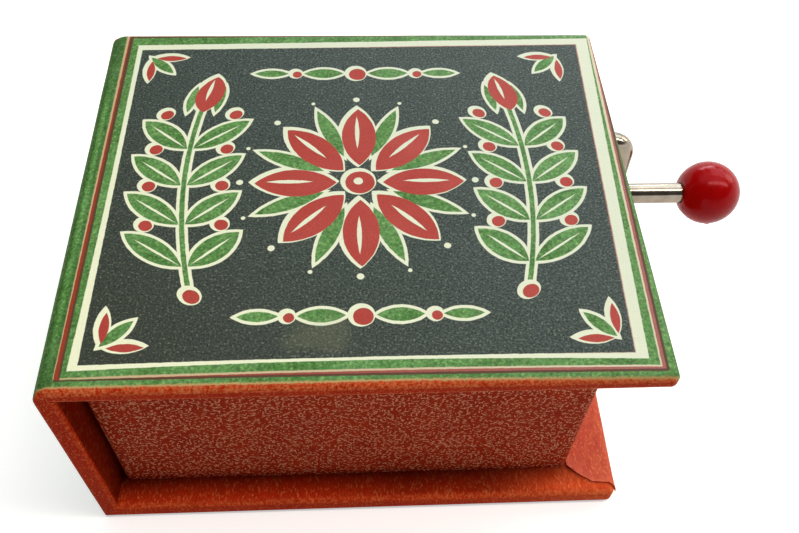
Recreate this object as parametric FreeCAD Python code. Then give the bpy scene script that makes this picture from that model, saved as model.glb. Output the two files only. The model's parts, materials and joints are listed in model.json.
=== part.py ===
import FreeCAD, Part
import math
import os

# Hand-cranked music box in a book-shaped board case.
#
# Millimetres. The origin is the middle of the case's underside, where it rests.
# +X runs from the spine to the crank, +Y to the back, +Z up. The lid is shut.
#
# The case is three covered boards (base, spine, lid) that fold like a book's
# cover, with a covered board tray glued on the base. A pinned-drum movement is
# screwed to the tray's floor. Its bent-wire crank leaves through the right wall.

Vector = FreeCAD.Vector
ALONG_X = Vector(1, 0, 0)
ALONG_Y = Vector(0, 1, 0)
ALONG_Z = Vector(0, 0, 1)

# Case: outside sizes
case_width = 72.0
case_depth = 60.0
case_height = 36.0

# Boards and the paper that covers them
paper = 0.25
lid_board_thick = 2.0
spine_board_thick = 2.0
base_board_thick = 3.0
shoulder_round = 2.5
foot_round = 0.5
cover_edge_round = 0.9
spine_edge_round = 0.8
turn_in = 8.0
fold_to_lining = 4.0

# Tray on the base
tray_end_inset = 4.0
tray_right_inset = 6.6
spine_to_tray = 0.6
tray_board_thick = 2.0
tray_corner_round = 1.0
tray_turn_in = 10.0
crank_hole_radius = 3.0

# Movement: gears. Their module follows from the height between bedplate and lid
pressure_angle = math.radians(20)
wheel_teeth = 32
wheel_face = 4.0
wheel_to_bed = 1.15
worm_starts = 2
worm_pitch_radius = 2.9
worm_thread_length = 8.0
worm_thread_sink = 0.15
worm_thread_relief = 0.165
wheel_tooth_relief = 0.185
root_depth_in_modules = 1.2

# Movement: drum with its pins
drum_x = 9.5
drum_radius = 6.5
drum_wall = 0.8
drum_end_margin = 0.6
drum_cap_thick = 2.0
arbor_radius = 1.0
hub_radius = 2.6
hub_reach = 0.9
wheel_to_drum = 0.8
pin_radius = 0.2
pin_height = 0.8
pin_root = 0.6
pin_steps = 40

# Movement: comb
comb_teeth = 18
tooth_pitch = 1.1
tooth_width = 0.85
tooth_thick = 0.8
longest_tooth = 16.0
shortest_tooth = 10.0
heel_width = 7.0
heel_thick = 2.2
tooth_lap = 0.6
tip_clearance = 0.12
weighted_teeth = 7
weight_drop = 4.0
weight_length = 4.2
weight_set_back = 1.5
damped_teeth = 5
damper_thick = 0.12
damper_width = 0.45

# Movement: bedplate
bed_to_back_wall = 2.75
bed_thick = 1.6
bed_margin = 2.5
bed_front = 4.3
bed_right = 12.5
bed_corner_round = 2.0
lug_thick = 1.8
lug_half_width = 4.0
lug_crown = 3.4
boss_radius = 3.0
boss_height = 4.0
boss_inset = 3.6
ledge_step = 0.5

# Movement: bracket that carries the crank's shaft
ear_half_gap = 6.0
bracket_thick = 1.2
ear_drop = 3.0
ear_rise = 3.5
ear_to_lid = 2.1
ear_reach = 3.5
bracket_foot_gap = 1.6
bracket_neck_drop = 1.5
ear_corner_round = 2.1

# Crank and knob
wire_radius = 1.6
wire_to_lid = 2.7
arm_length = 11.0
arm_lean = math.radians(2.8)
bend_radius = 2.1
arm_to_knob_centre = 15.85
knob_radius = 5.0
knob_flat_radius = 2.4
spindle_past_centre = 2.0
spindle_head_radius = 1.9
spindle_head_length = 0.8
shaft_tail = 2.2
ring_radius = 2.9
ring_thick = 0.7

# Screws
comb_screw_radius = 1.0
comb_screw_head = 2.0
comb_screw_head_height = 1.3
comb_screw_depth = 5.0
bracket_screw_radius = 0.8
bracket_screw_head = 1.5
bracket_screw_head_height = 0.9
bracket_screw_spacing = 4.8
bracket_screw_depth = 1.5
mount_screw_radius = 1.2
mount_screw_head = 2.6
mount_screw_head_height = 1.2
mount_screw_tip_gap = 0.5
slot_width = 0.45
slot_depth = 0.5

# Fits
running_fit = 0.05
end_play = 0.2
screw_clearance = 0.2

# How far a cutting shape runs past the face that it cuts, and the size below
# which an edge counts as having no extent in a direction
overshoot = 1.0
hair = 0.01

# Places that follow from the sizes above
west = -case_width / 2
east = case_width / 2
front = -case_depth / 2
back = case_depth / 2
lid_thick = lid_board_thick + 2 * paper
spine_thick = spine_board_thick + 2 * paper
base_thick = base_board_thick + 2 * paper
lid_under = case_height - lid_thick
spine_inner = west + spine_thick

tray_x0 = spine_inner + spine_to_tray
tray_x1 = east - tray_right_inset
tray_y0 = front + tray_end_inset
tray_y1 = back - tray_end_inset
tray_wall = tray_board_thick + 2 * paper
floor_board_top = base_thick + tray_board_thick
floor_top = floor_board_top + paper
room_x0 = tray_x0 + tray_wall
room_x1 = tray_x1 - tray_wall
room_y0 = tray_y0 + tray_wall
room_y1 = tray_y1 - tray_wall

bed_z1 = floor_top + bed_thick
bed_y1 = room_y1 - bed_to_back_wall
back_lug_y1 = bed_y1 - bracket_thick
back_lug_y0 = back_lug_y1 - lug_thick
wheel_y1 = back_lug_y0 - end_play - hub_reach
wheel_y0 = wheel_y1 - wheel_face
shaft_y = (wheel_y0 + wheel_y1) / 2

shaft_z = lid_under - ear_to_lid - ear_rise
wheel_height = shaft_z - worm_pitch_radius - bed_z1 - wheel_to_bed
gear_module = wheel_height / (wheel_teeth + 1)
half_pitch = math.pi * gear_module / 2
wheel_pitch_radius = gear_module * wheel_teeth / 2
wheel_tip_radius = wheel_pitch_radius + gear_module
wheel_root_radius = wheel_pitch_radius - root_depth_in_modules * gear_module
wheel_tooth_thick = half_pitch - wheel_tooth_relief
worm_tip_radius = worm_pitch_radius + gear_module
worm_root_radius = worm_pitch_radius - root_depth_in_modules * gear_module
worm_thread_thick = half_pitch - worm_thread_relief
worm_lead = worm_starts * 2 * half_pitch
drum_z = shaft_z - worm_pitch_radius - wheel_pitch_radius

drum_length = comb_teeth * tooth_pitch + 2 * drum_end_margin
drum_y1 = wheel_y0 - wheel_to_drum
drum_y0 = drum_y1 - drum_length
track_y0 = drum_y0 + drum_end_margin + tooth_pitch / 2
front_lug_y1 = drum_y0 - hub_reach - end_play
front_lug_y0 = front_lug_y1 - lug_thick

pin_tip_radius = drum_radius + pin_height
tip_x = drum_x - pin_tip_radius - tip_clearance
comb_z0 = drum_z - tooth_thick / 2
comb_y0 = track_y0 - tooth_pitch / 2
comb_y1 = comb_y0 + comb_teeth * tooth_pitch
heel_x0 = tip_x - longest_tooth - heel_width

bed_x0 = heel_x0 - bed_margin
bed_x1 = drum_x + bed_right
bed_y0 = front_lug_y0 - bed_front

ear_z0 = shaft_z - ear_drop
ear_z1 = shaft_z + ear_rise
ear_outer = ear_half_gap + bracket_thick
arm_x = east + wire_to_lid + wire_radius
knob_x = arm_x + arm_to_knob_centre
handle_y = shaft_y - arm_length * math.sin(arm_lean)
handle_z = shaft_z - arm_length * math.cos(arm_lean)


def block(x0, x1, y0, y1, z0, z1):
    """Rectangular block between two corners."""
    return Part.makeBox(x1 - x0, y1 - y0, z1 - z0, Vector(x0, y0, z0))


def rod(radius, start, direction, length):
    """Round bar from a start point along a direction."""
    return Part.makeCylinder(radius, length, Vector(*start), direction)


def tube(outer, inner, start, direction, length):
    """Round tube from a start point along a direction."""
    return rod(outer, start, direction, length).cut(rod(inner, start, direction, length))


def section(edges):
    """Flat face inside a closed run of edges."""
    return Part.Face(Part.Wire(edges))


def line(a, b):
    return Part.LineSegment(Vector(*a), Vector(*b)).toShape()


def arc(a, middle, b):
    return Part.Arc(Vector(*a), Vector(*middle), Vector(*b)).toShape()


def soft_edges(shape, radius, chosen):
    """Rounds the edges for which chosen(box of the edge) is true."""
    edges = [edge for edge in shape.Edges if chosen(edge.BoundBox)]
    return shape.makeFillet(radius, edges)


def upright(box):
    """Whether an edge with this box runs straight up."""
    return box.ZLength > hair and box.XLength < hair and box.YLength < hair


def upper_fold():
    """Middle of the rounded shoulder, on which the lid turns, as (x, z)."""
    inset = shoulder_round * (1 - math.sqrt(0.5))
    return west + inset, case_height - inset


def lower_fold():
    """Outer bottom corner of the spine, on which the spine turns, as (x, z)."""
    inset = foot_round * (1 - math.sqrt(0.5))
    return west + inset, inset


def corner_bow(centre_x, centre_z, radius, from_degrees, to_degrees):
    """Middle point of a stretch of a corner's arc, seen from the front."""
    angle = math.radians((from_degrees + to_degrees) / 2)
    return centre_x + radius * math.cos(angle), 0, centre_z + radius * math.sin(angle)


def lid_outline():
    """Section of the covered lid: bevelled at the fold, rounded at the shoulder."""
    fold = (upper_fold()[0], 0, upper_fold()[1])
    centre_x = west + shoulder_round
    centre_z = case_height - shoulder_round
    top = (centre_x, 0, case_height)
    bow = corner_bow(centre_x, centre_z, shoulder_round, 90, 135)
    inner = (spine_inner, 0, lid_under)
    return [
        arc(fold, bow, top),
        line(top, (east, 0, case_height)),
        line((east, 0, case_height), (east, 0, lid_under)),
        line((east, 0, lid_under), inner),
        line(inner, fold),
    ]


def spine_outline():
    """Section of the covered spine, bevelled at both folds."""
    high = (upper_fold()[0], 0, upper_fold()[1])
    low = (lower_fold()[0], 0, lower_fold()[1])
    high_x = west + shoulder_round
    high_z = case_height - shoulder_round
    low_x = west + foot_round
    high_bow = corner_bow(high_x, high_z, shoulder_round, 135, 180)
    low_bow = corner_bow(low_x, foot_round, foot_round, 180, 225)
    return [
        arc(low, low_bow, (west, 0, foot_round)),
        line((west, 0, foot_round), (west, 0, high_z)),
        arc((west, 0, high_z), high_bow, high),
        line(high, (spine_inner, 0, lid_under)),
        line((spine_inner, 0, lid_under), (spine_inner, 0, base_thick)),
        line((spine_inner, 0, base_thick), low),
    ]


def base_outline():
    """Section of the covered base, bevelled at the fold."""
    fold = (lower_fold()[0], 0, lower_fold()[1])
    heel = (west + foot_round, 0, 0)
    bow = corner_bow(west + foot_round, foot_round, foot_round, 225, 270)
    inner = (spine_inner, 0, base_thick)
    return [
        line(inner, (east, 0, base_thick)),
        line((east, 0, base_thick), (east, 0, 0)),
        line((east, 0, 0), heel),
        arc(heel, bow, fold),
        line(fold, inner),
    ]


def prism(outline, inset):
    """Runs a section from the case's front to its back, drawn in on every side by inset."""
    face = section(outline)
    if inset:
        face = face.makeOffset2D(-inset)
    solid = face.extrude(Vector(0, case_depth - 2 * inset, 0))
    return solid.translated(Vector(0, front + inset, 0))


def flat_cover(outline, z0, z1, inset):
    """A covered board that lies flat, with soft front, right and back edges."""
    slab = block(west, east - inset, front + inset, back - inset, z0 + inset, z1 - inset)
    reach = west + shoulder_round

    def outer_edge(box):
        along_side = box.YLength < hair and box.ZLength < hair
        return along_side or (box.XMin > reach)

    slab = soft_edges(slab, cover_edge_round - inset, outer_edge)
    return slab.common(prism(outline, inset))


def upright_cover(outline, inset):
    """The covered spine board, with soft front and back edges."""
    slab = block(west + inset, spine_inner - inset, front + inset, back - inset, 0, case_height)
    slab = soft_edges(slab, spine_edge_round - inset, upright)
    return slab.common(prism(outline, inset))


def cover_lining(x0, x1, z0, z1):
    """Sheet glued on the inside of a cover, between the turned-in edges of the paper."""
    return block(x0, x1, front + turn_in, back - turn_in, z0, z1)


def make_lid():
    """Lid board, the paper over its top and edges, and the sheet inside."""
    outer = flat_cover(lid_outline(), lid_under, case_height, 0)
    board = flat_cover(lid_outline(), lid_under, case_height, paper)
    lining = cover_lining(spine_inner + fold_to_lining, east - turn_in, lid_under, lid_under + paper)
    return {
        "lid_board": board,
        "lid_cover_paper": outer.cut(board).cut(lining),
        "lid_lining_paper": lining,
    }


def make_spine():
    """Spine board, the paper round it, and the sheet inside."""
    outer = upright_cover(spine_outline(), 0)
    board = upright_cover(spine_outline(), paper)
    z0 = base_thick + fold_to_lining
    z1 = lid_under - fold_to_lining
    lining = cover_lining(spine_inner - paper, spine_inner, z0, z1)
    return {
        "spine_board": board,
        "spine_cover_paper": outer.cut(board).cut(lining),
        "spine_lining_paper": lining,
    }


def make_base():
    """Base board, the paper under it and over its edges, and the sheet under the tray."""
    outer = flat_cover(base_outline(), 0, base_thick, 0)
    board = flat_cover(base_outline(), 0, base_thick, paper)
    x0 = spine_inner + fold_to_lining
    x1 = east - tray_right_inset - turn_in
    lining = cover_lining(x0, x1, base_thick - paper, base_thick)
    return {
        "base_board": board,
        "base_cover_paper": outer.cut(board).cut(lining),
        "base_lining_paper": lining,
    }


def tray_shell(inset):
    """Outside of the tray as one block with soft upright corners, drawn in by inset."""
    shell = block(
        tray_x0 + inset, tray_x1 - inset, tray_y0 + inset, tray_y1 - inset, base_thick, lid_under - inset
    )
    return soft_edges(shell, tray_corner_round - inset, upright)


def make_tray():
    """Floor, four walls, the paper round them, and the papers inside."""
    boards = tray_shell(paper)
    board_x0 = tray_x0 + paper
    board_x1 = tray_x1 - paper
    board_y0 = tray_y0 + paper
    board_y1 = tray_y1 - paper
    inner_x0 = board_x0 + tray_board_thick
    inner_x1 = board_x1 - tray_board_thick
    inner_y0 = board_y0 + tray_board_thick
    inner_y1 = board_y1 - tray_board_thick
    wall_top = lid_under - paper
    hole_start = (room_x1 - overshoot, shaft_y, shaft_z)
    hole = rod(crank_hole_radius, hole_start, ALONG_X, tray_wall + 2 * overshoot)

    wall_front = boards.common(block(board_x0, board_x1, board_y0, inner_y0, base_thick, wall_top))
    wall_back = boards.common(block(board_x0, board_x1, inner_y1, board_y1, base_thick, wall_top))
    wall_left = block(board_x0, inner_x0, inner_y0, inner_y1, base_thick, wall_top)
    wall_right = block(inner_x1, board_x1, inner_y0, inner_y1, base_thick, wall_top).cut(hole)
    floor = block(inner_x0, inner_x1, inner_y0, inner_y1, base_thick, floor_board_top)
    floor_paper = block(room_x0, room_x1, room_y0, room_y1, floor_board_top, floor_top)
    for x, y in mount_points():
        depth = floor_top - base_thick
        passage = rod(mount_screw_radius + screw_clearance, (x, y, base_thick), ALONG_Z, depth)
        floor = floor.cut(passage).cut(mount_screw_cone(x, y))
        floor_paper = floor_paper.cut(passage)

    room = block(room_x0, room_x1, room_y0, room_y1, floor_board_top, lid_under)
    inside = block(inner_x0, inner_x1, inner_y0, inner_y1, base_thick, lid_under)
    ring = boards.cut(inside)
    papers = tray_shell(0).cut(ring).cut(room)
    papers = papers.cut(block(inner_x0, inner_x1, inner_y0, inner_y1, base_thick, floor_board_top))
    below = block(inner_x0, inner_x1, inner_y0, inner_y1, floor_board_top, lid_under - tray_turn_in)
    return {
        "tray_floor": floor,
        "tray_wall_front": wall_front,
        "tray_wall_back": wall_back,
        "tray_wall_left": wall_left,
        "tray_wall_right": wall_right,
        "tray_wrap_paper": papers.cut(below).cut(hole),
        "tray_lining_paper": papers.common(below).cut(hole),
        "tray_floor_paper": floor_paper,
    }


def mount_points():
    """Where the three screws hold the bedplate to the tray's floor."""
    left = bed_x0 + boss_inset
    right = bed_x1 - boss_inset
    near = bed_y0 + boss_inset
    far = bed_y1 - boss_inset
    return [(left, near), (left, far), (right, near)]


def mount_screw_cone(x, y):
    """Countersunk head of a mounting screw, flush with the floor's underside."""
    return Part.makeCone(
        mount_screw_head, mount_screw_radius, mount_screw_head_height, Vector(x, y, base_thick), ALONG_Z
    )


def make_mounting_screws():
    """Three countersunk screws, driven up from under the tray's floor."""
    screws = []
    length = bed_z1 + boss_height - mount_screw_tip_gap - base_thick
    for x, y in mount_points():
        screw = mount_screw_cone(x, y).fuse(rod(mount_screw_radius, (x, y, base_thick), ALONG_Z, length))
        slot = block(
            x - mount_screw_head, x + mount_screw_head, y - slot_width / 2, y + slot_width / 2,
            base_thick, base_thick + slot_depth,
        )
        screws.append(screw.cut(slot))
    return Part.makeCompound(screws)


def root_x(y):
    """Where the tooth at y leaves the comb's heel: low notes have the longest teeth."""
    share = (y - comb_y0) / (comb_y1 - comb_y0)
    return tip_x - longest_tooth + share * (longest_tooth - shortest_tooth)


def heel_outline(z, inset):
    """Plan of the comb's heel, drawn back from the teeth by inset."""
    corners = [
        (heel_x0, comb_y0, z),
        (root_x(comb_y0) - inset, comb_y0, z),
        (root_x(comb_y1) - inset, comb_y1, z),
        (heel_x0, comb_y1, z),
    ]
    return section([line(corners[i], corners[(i + 1) % 4]) for i in range(4)])


def comb_screw_points():
    """The comb's two screws, a quarter of its width from each end."""
    x = heel_x0 + heel_width / 2
    quarter = (comb_y1 - comb_y0) / 4
    return [(x, comb_y0 + quarter), (x, comb_y1 - quarter)]


def make_bedplate():
    """Cast bedplate: plate, two drum lugs, the ledge under the comb and three bosses."""
    plate = block(bed_x0, bed_x1, bed_y0, bed_y1, floor_top, bed_z1)
    plate = soft_edges(plate, bed_corner_round, upright)
    ledge = heel_outline(bed_z1, ledge_step).extrude(Vector(0, 0, comb_z0 - bed_z1))
    bed = plate.fuse(ledge)
    for y in (front_lug_y0, back_lug_y0):
        post = block(drum_x - lug_half_width, drum_x + lug_half_width, y, y + lug_thick, bed_z1, drum_z)
        crown = rod(lug_half_width, (drum_x, y, drum_z), ALONG_Y, lug_thick)
        trim = block(
            drum_x - lug_half_width, drum_x + lug_half_width, y, y + lug_thick, drum_z, drum_z + lug_crown
        )
        bed = bed.fuse(post).fuse(crown.common(trim))
    for x, y in mount_points():
        bed = bed.fuse(rod(boss_radius, (x, y, bed_z1), ALONG_Z, boss_height))
    bed = bed.removeSplitter()
    for x, y in mount_points():
        bed = bed.cut(rod(mount_screw_radius, (x, y, floor_top), ALONG_Z, bed_thick + boss_height))
    bore_length = back_lug_y1 - front_lug_y0
    bed = bed.cut(rod(arbor_radius + running_fit, (drum_x, front_lug_y0, drum_z), ALONG_Y, bore_length))
    for x, y in comb_screw_points():
        start = (x, y, comb_z0 - comb_screw_depth)
        bed = bed.cut(rod(comb_screw_radius, start, ALONG_Z, comb_screw_depth))
    for x, z in bracket_screw_points():
        start = (x, back_lug_y1 - bracket_screw_depth, z)
        bed = bed.cut(rod(bracket_screw_radius, start, ALONG_Y, bracket_screw_depth))
    return bed


def make_comb():
    """Steel comb: a thick heel with eighteen teeth of graded length."""
    comb = heel_outline(comb_z0, 0).extrude(Vector(0, 0, heel_thick))
    for tooth in range(comb_teeth):
        y = track_y0 + tooth * tooth_pitch
        start = root_x(y - tooth_width / 2) - tooth_lap
        comb = comb.fuse(
            block(start, tip_x, y - tooth_width / 2, y + tooth_width / 2, comb_z0, comb_z0 + tooth_thick)
        )
    for x, y in comb_screw_points():
        comb = comb.cut(rod(comb_screw_radius + screw_clearance, (x, y, comb_z0), ALONG_Z, heel_thick))
    return comb.removeSplitter()


def make_comb_weights():
    """Lead weights under the low teeth, smaller from tooth to tooth."""
    weights = []
    for tooth in range(weighted_teeth):
        y = track_y0 + tooth * tooth_pitch
        share = 1 - tooth / (weighted_teeth + 2)
        x1 = tip_x - weight_set_back
        weights.append(
            block(
                x1 - weight_length * share, x1,
                y - tooth_width / 2, y + tooth_width / 2,
                comb_z0 - weight_drop * share, comb_z0,
            )
        )
    return Part.makeCompound(weights)


def make_comb_dampers():
    """Thin damper strips under the tips of the lowest teeth."""
    dampers = []
    for tooth in range(damped_teeth):
        y = track_y0 + tooth * tooth_pitch
        dampers.append(
            block(
                tip_x - weight_set_back, tip_x - tip_clearance,
                y - damper_width / 2, y + damper_width / 2,
                comb_z0 - damper_thick, comb_z0,
            )
        )
    return Part.makeCompound(dampers)


def make_comb_screws():
    """Two slotted screws that hold the comb on its ledge."""
    screws = []
    head_z = comb_z0 + heel_thick
    for x, y in comb_screw_points():
        length = comb_screw_depth + heel_thick
        shank = rod(comb_screw_radius, (x, y, comb_z0 - comb_screw_depth), ALONG_Z, length)
        head = rod(comb_screw_head, (x, y, head_z), ALONG_Z, comb_screw_head_height)
        top_z = head_z + comb_screw_head_height
        slot = block(
            x - comb_screw_head, x + comb_screw_head, y - slot_width / 2, y + slot_width / 2,
            top_z - slot_depth, top_z,
        )
        screws.append(shank.fuse(head).cut(slot))
    return Part.makeCompound(screws)


def bracket_screw_points():
    """The bracket's two screws, low on the back lug, as (x, z)."""
    z = (bed_z1 + drum_z) / 2
    return [(drum_x + side * bracket_screw_spacing / 2, z) for side in (-1, 1)]


def make_bracket():
    """Stamped bracket: a plate on the back lug and two ears that reach over the wheel."""
    plate_y0 = back_lug_y1
    plate_y1 = plate_y0 + bracket_thick
    tip_y = shaft_y - ear_reach
    plate = block(
        drum_x - ear_outer, drum_x + ear_outer, plate_y0, plate_y1, bed_z1 + bracket_foot_gap, ear_z1
    )
    bracket = plate
    for side in (-1, 1):
        x0, x1 = sorted((drum_x + side * lug_half_width, drum_x + side * ear_outer))
        notch = block(x0, x1, plate_y0, plate_y1, bed_z1, ear_z0 - bracket_neck_drop)
        bracket = bracket.cut(notch)
    for side in (-1, 1):
        x0, x1 = sorted((drum_x + side * ear_half_gap, drum_x + side * ear_outer))
        ear = block(x0, x1, tip_y, plate_y1, ear_z0, ear_z1)
        ear = soft_edges(ear, ear_corner_round, lambda box: box.XLength > hair and box.YMax < tip_y + hair)
        bracket = bracket.fuse(ear)
    bracket = bracket.removeSplitter()
    shaft_start = (drum_x - ear_outer, shaft_y, shaft_z)
    bracket = bracket.cut(rod(wire_radius + running_fit, shaft_start, ALONG_X, 2 * ear_outer))
    for x, z in bracket_screw_points():
        hole = rod(bracket_screw_radius + screw_clearance, (x, plate_y0, z), ALONG_Y, bracket_thick)
        bracket = bracket.cut(hole)
    return bracket


def make_bracket_screws():
    """Two slotted screws, driven from behind into the back lug."""
    screws = []
    plate_y1 = back_lug_y1 + bracket_thick
    for x, z in bracket_screw_points():
        length = bracket_screw_depth + bracket_thick
        shank = rod(bracket_screw_radius, (x, back_lug_y1 - bracket_screw_depth, z), ALONG_Y, length)
        head = rod(bracket_screw_head, (x, plate_y1, z), ALONG_Y, bracket_screw_head_height)
        head_y = plate_y1 + bracket_screw_head_height
        slot = block(
            x - bracket_screw_head, x + bracket_screw_head, head_y - slot_depth, head_y,
            z - slot_width / 2, z + slot_width / 2,
        )
        screws.append(shank.fuse(head).cut(slot))
    return Part.makeCompound(screws)


def involute(angle):
    return math.tan(angle) - angle


def wheel_section(y, twist):
    """Outline of the worm wheel's teeth in the plane y, turned by twist about its axis."""
    base_radius = wheel_pitch_radius * math.cos(pressure_angle)
    pitch_half = wheel_tooth_thick / 2 / wheel_pitch_radius
    flank = pitch_half + involute(pressure_angle)
    tip_half = flank - involute(math.acos(base_radius / wheel_tip_radius))
    profile = [
        (wheel_root_radius, -flank),
        (wheel_pitch_radius, -pitch_half),
        (wheel_tip_radius, -tip_half),
        (wheel_tip_radius, tip_half),
        (wheel_pitch_radius, pitch_half),
        (wheel_root_radius, flank),
    ]
    points = []
    for tooth in range(wheel_teeth):
        centre = (tooth + 0.5) * 2 * math.pi / wheel_teeth + twist
        for radius, offset in profile:
            angle = centre + offset
            points.append(Vector(drum_x + radius * math.sin(angle), y, drum_z + radius * math.cos(angle)))
    points.append(points[0])
    return Part.makePolygon(points)


def make_worm_wheel():
    """Worm wheel with slanting teeth, and a hub on each side."""
    twist = math.atan2(worm_lead / (2 * math.pi), worm_pitch_radius)
    half_turn = math.tan(twist) * wheel_face / 2 / wheel_pitch_radius
    wheel = Part.makeLoft(
        [wheel_section(wheel_y0, -half_turn), wheel_section(wheel_y1, half_turn)], True, True
    )
    hub_length = wheel_to_drum + wheel_face + hub_reach
    wheel = wheel.fuse(rod(hub_radius, (drum_x, drum_y1, drum_z), ALONG_Y, hub_length))
    return wheel.cut(rod(arbor_radius, (drum_x, drum_y1, drum_z), ALONG_Y, hub_length))


def worm_thread(start_angle):
    """One start of the worm's thread, about the X axis, centred on x = 0."""
    helix = Part.makeHelix(worm_lead, worm_thread_length, worm_pitch_radius)
    slope = math.tan(pressure_angle)
    inner = worm_root_radius - worm_thread_sink
    half_tip = worm_thread_thick / 2 - gear_module * slope
    half_root = worm_thread_thick / 2 + (worm_pitch_radius - inner) * slope
    profile = Part.makePolygon(
        [
            Vector(inner, 0, -half_root),
            Vector(worm_tip_radius, 0, -half_tip),
            Vector(worm_tip_radius, 0, half_tip),
            Vector(inner, 0, half_root),
            Vector(inner, 0, -half_root),
        ]
    )
    thread = Part.Wire(helix.Edges).makePipeShell([profile], True, True)
    thread.rotate(Vector(0, 0, 0), ALONG_Z, start_angle)
    thread.translate(Vector(0, 0, -worm_thread_length / 2))
    # A third of a turn about the space diagonal lays the worm's axis along X.
    thread.rotate(Vector(0, 0, 0), Vector(1, 1, 1), 120)
    return thread


def make_worm():
    """Worm pressed on the crank's shaft, its thread in mesh with the wheel below it."""
    length = 2 * (ear_half_gap - end_play)
    worm = rod(worm_root_radius, (-length / 2, 0, 0), ALONG_X, length)
    turns_before_middle = worm_thread_length / 2 / worm_lead
    for start in range(worm_starts):
        angle = -90 - 360 * turns_before_middle + 360 * start / worm_starts
        worm = worm.fuse(worm_thread(angle))
    worm = worm.cut(rod(wire_radius, (-length / 2, 0, 0), ALONG_X, length))
    return worm.translated(Vector(drum_x, shaft_y, shaft_z))


def make_drum():
    """Drum shell, its pins, end caps and arbor."""
    shell = tube(drum_radius, drum_radius - drum_wall, (drum_x, drum_y0, drum_z), ALONG_Y, drum_length)
    cap_radius = drum_radius - drum_wall
    cap_front = rod(cap_radius, (drum_x, drum_y0, drum_z), ALONG_Y, drum_cap_thick)
    cap_front = cap_front.fuse(rod(hub_radius, (drum_x, drum_y0 - hub_reach, drum_z), ALONG_Y, hub_reach))
    cap_front = cap_front.cut(
        rod(arbor_radius, (drum_x, drum_y0 - hub_reach, drum_z), ALONG_Y, hub_reach + drum_cap_thick)
    )
    back_start = (drum_x, drum_y1 - drum_cap_thick, drum_z)
    cap_back = tube(cap_radius, arbor_radius, back_start, ALONG_Y, drum_cap_thick)
    arbor_length = back_lug_y1 - front_lug_y0
    arbor = rod(arbor_radius, (drum_x, front_lug_y0, drum_z), ALONG_Y, arbor_length)
    return {
        "drum_shell": shell,
        "drum_cap_front": cap_front,
        "drum_cap_back": cap_back,
        "drum_arbor": arbor,
        "drum_pins": make_pins(),
    }


def plays(step, tooth):
    """Whether the made-up tune sounds this tooth at this step."""
    return (3 * step + 5 * tooth + step * tooth) % 7 == 0


def make_pins():
    """Steel pins, each on the track of its tooth."""
    pins = []
    for tooth in range(comb_teeth):
        y = track_y0 + tooth * tooth_pitch
        for step in range(pin_steps):
            if not plays(step, tooth):
                continue
            angle = 2 * math.pi * (step + 0.5) / pin_steps
            outward = Vector(math.cos(angle), 0, math.sin(angle))
            start = Vector(drum_x, y, drum_z) + outward * (drum_radius - pin_root)
            pins.append(Part.makeCylinder(pin_radius, pin_root + pin_height, start, outward))
    return Part.makeCompound(pins)


def crank_path():
    """Centre line of the bent wire: shaft, arm and handle spindle."""
    down = Vector(0, -math.sin(arm_lean), -math.cos(arm_lean))
    shaft_end = Vector(arm_x, shaft_y, shaft_z)
    handle_start = Vector(arm_x, handle_y, handle_z)
    tail = Vector(drum_x - ear_outer - shaft_tail, shaft_y, shaft_z)
    tip = Vector(knob_x + spindle_past_centre, handle_y, handle_z)
    high_a = shaft_end - ALONG_X * bend_radius
    high_b = shaft_end + down * bend_radius
    low_a = handle_start - down * bend_radius
    low_b = handle_start + ALONG_X * bend_radius
    share = bend_radius * (1 - math.sqrt(0.5))
    high_bow = shaft_end - ALONG_X * share + down * share
    low_bow = handle_start + ALONG_X * share - down * share
    edges = [
        Part.LineSegment(tail, high_a).toShape(),
        Part.Arc(high_a, high_bow, high_b).toShape(),
        Part.LineSegment(high_b, low_a).toShape(),
        Part.Arc(low_a, low_bow, low_b).toShape(),
        Part.LineSegment(low_b, tip).toShape(),
    ]
    return Part.Wire(edges), tail, tip


def make_crank_wire():
    """Bent wire: shaft, arm and spindle, with an upset head that keeps the knob on."""
    path, tail, tip = crank_path()
    ring = Part.Wire([Part.makeCircle(wire_radius, tail, ALONG_X)])
    wire = path.makePipeShell([ring], True, True)
    head = Part.makeCylinder(spindle_head_radius, spindle_head_length, tip, ALONG_X)
    return wire.fuse(head)


def make_shaft_ring():
    """Retaining ring pressed on the shaft outside the inner ear."""
    x = drum_x - ear_outer - end_play - ring_thick
    return tube(ring_radius, wire_radius, (x, shaft_y, shaft_z), ALONG_X, ring_thick)


def make_knob():
    """Ball knob with a flat at the wire, snapped over the spindle's head."""
    centre = Vector(knob_x, handle_y, handle_z)
    flat = math.sqrt(knob_radius ** 2 - knob_flat_radius ** 2)
    ball = Part.makeSphere(knob_radius, centre)
    ball = ball.common(
        block(
            knob_x - flat, knob_x + knob_radius + overshoot,
            handle_y - knob_radius - overshoot, handle_y + knob_radius + overshoot,
            handle_z - knob_radius - overshoot, handle_z + knob_radius + overshoot,
        )
    )
    mouth = (knob_x - flat, handle_y, handle_z)
    bore = rod(wire_radius + running_fit, mouth, ALONG_X, flat + spindle_past_centre)
    head_room = rod(
        spindle_head_radius + running_fit,
        (knob_x + spindle_past_centre - end_play, handle_y, handle_z),
        ALONG_X,
        spindle_head_length + 2 * end_play,
    )
    return ball.cut(bore).cut(head_room)


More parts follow.
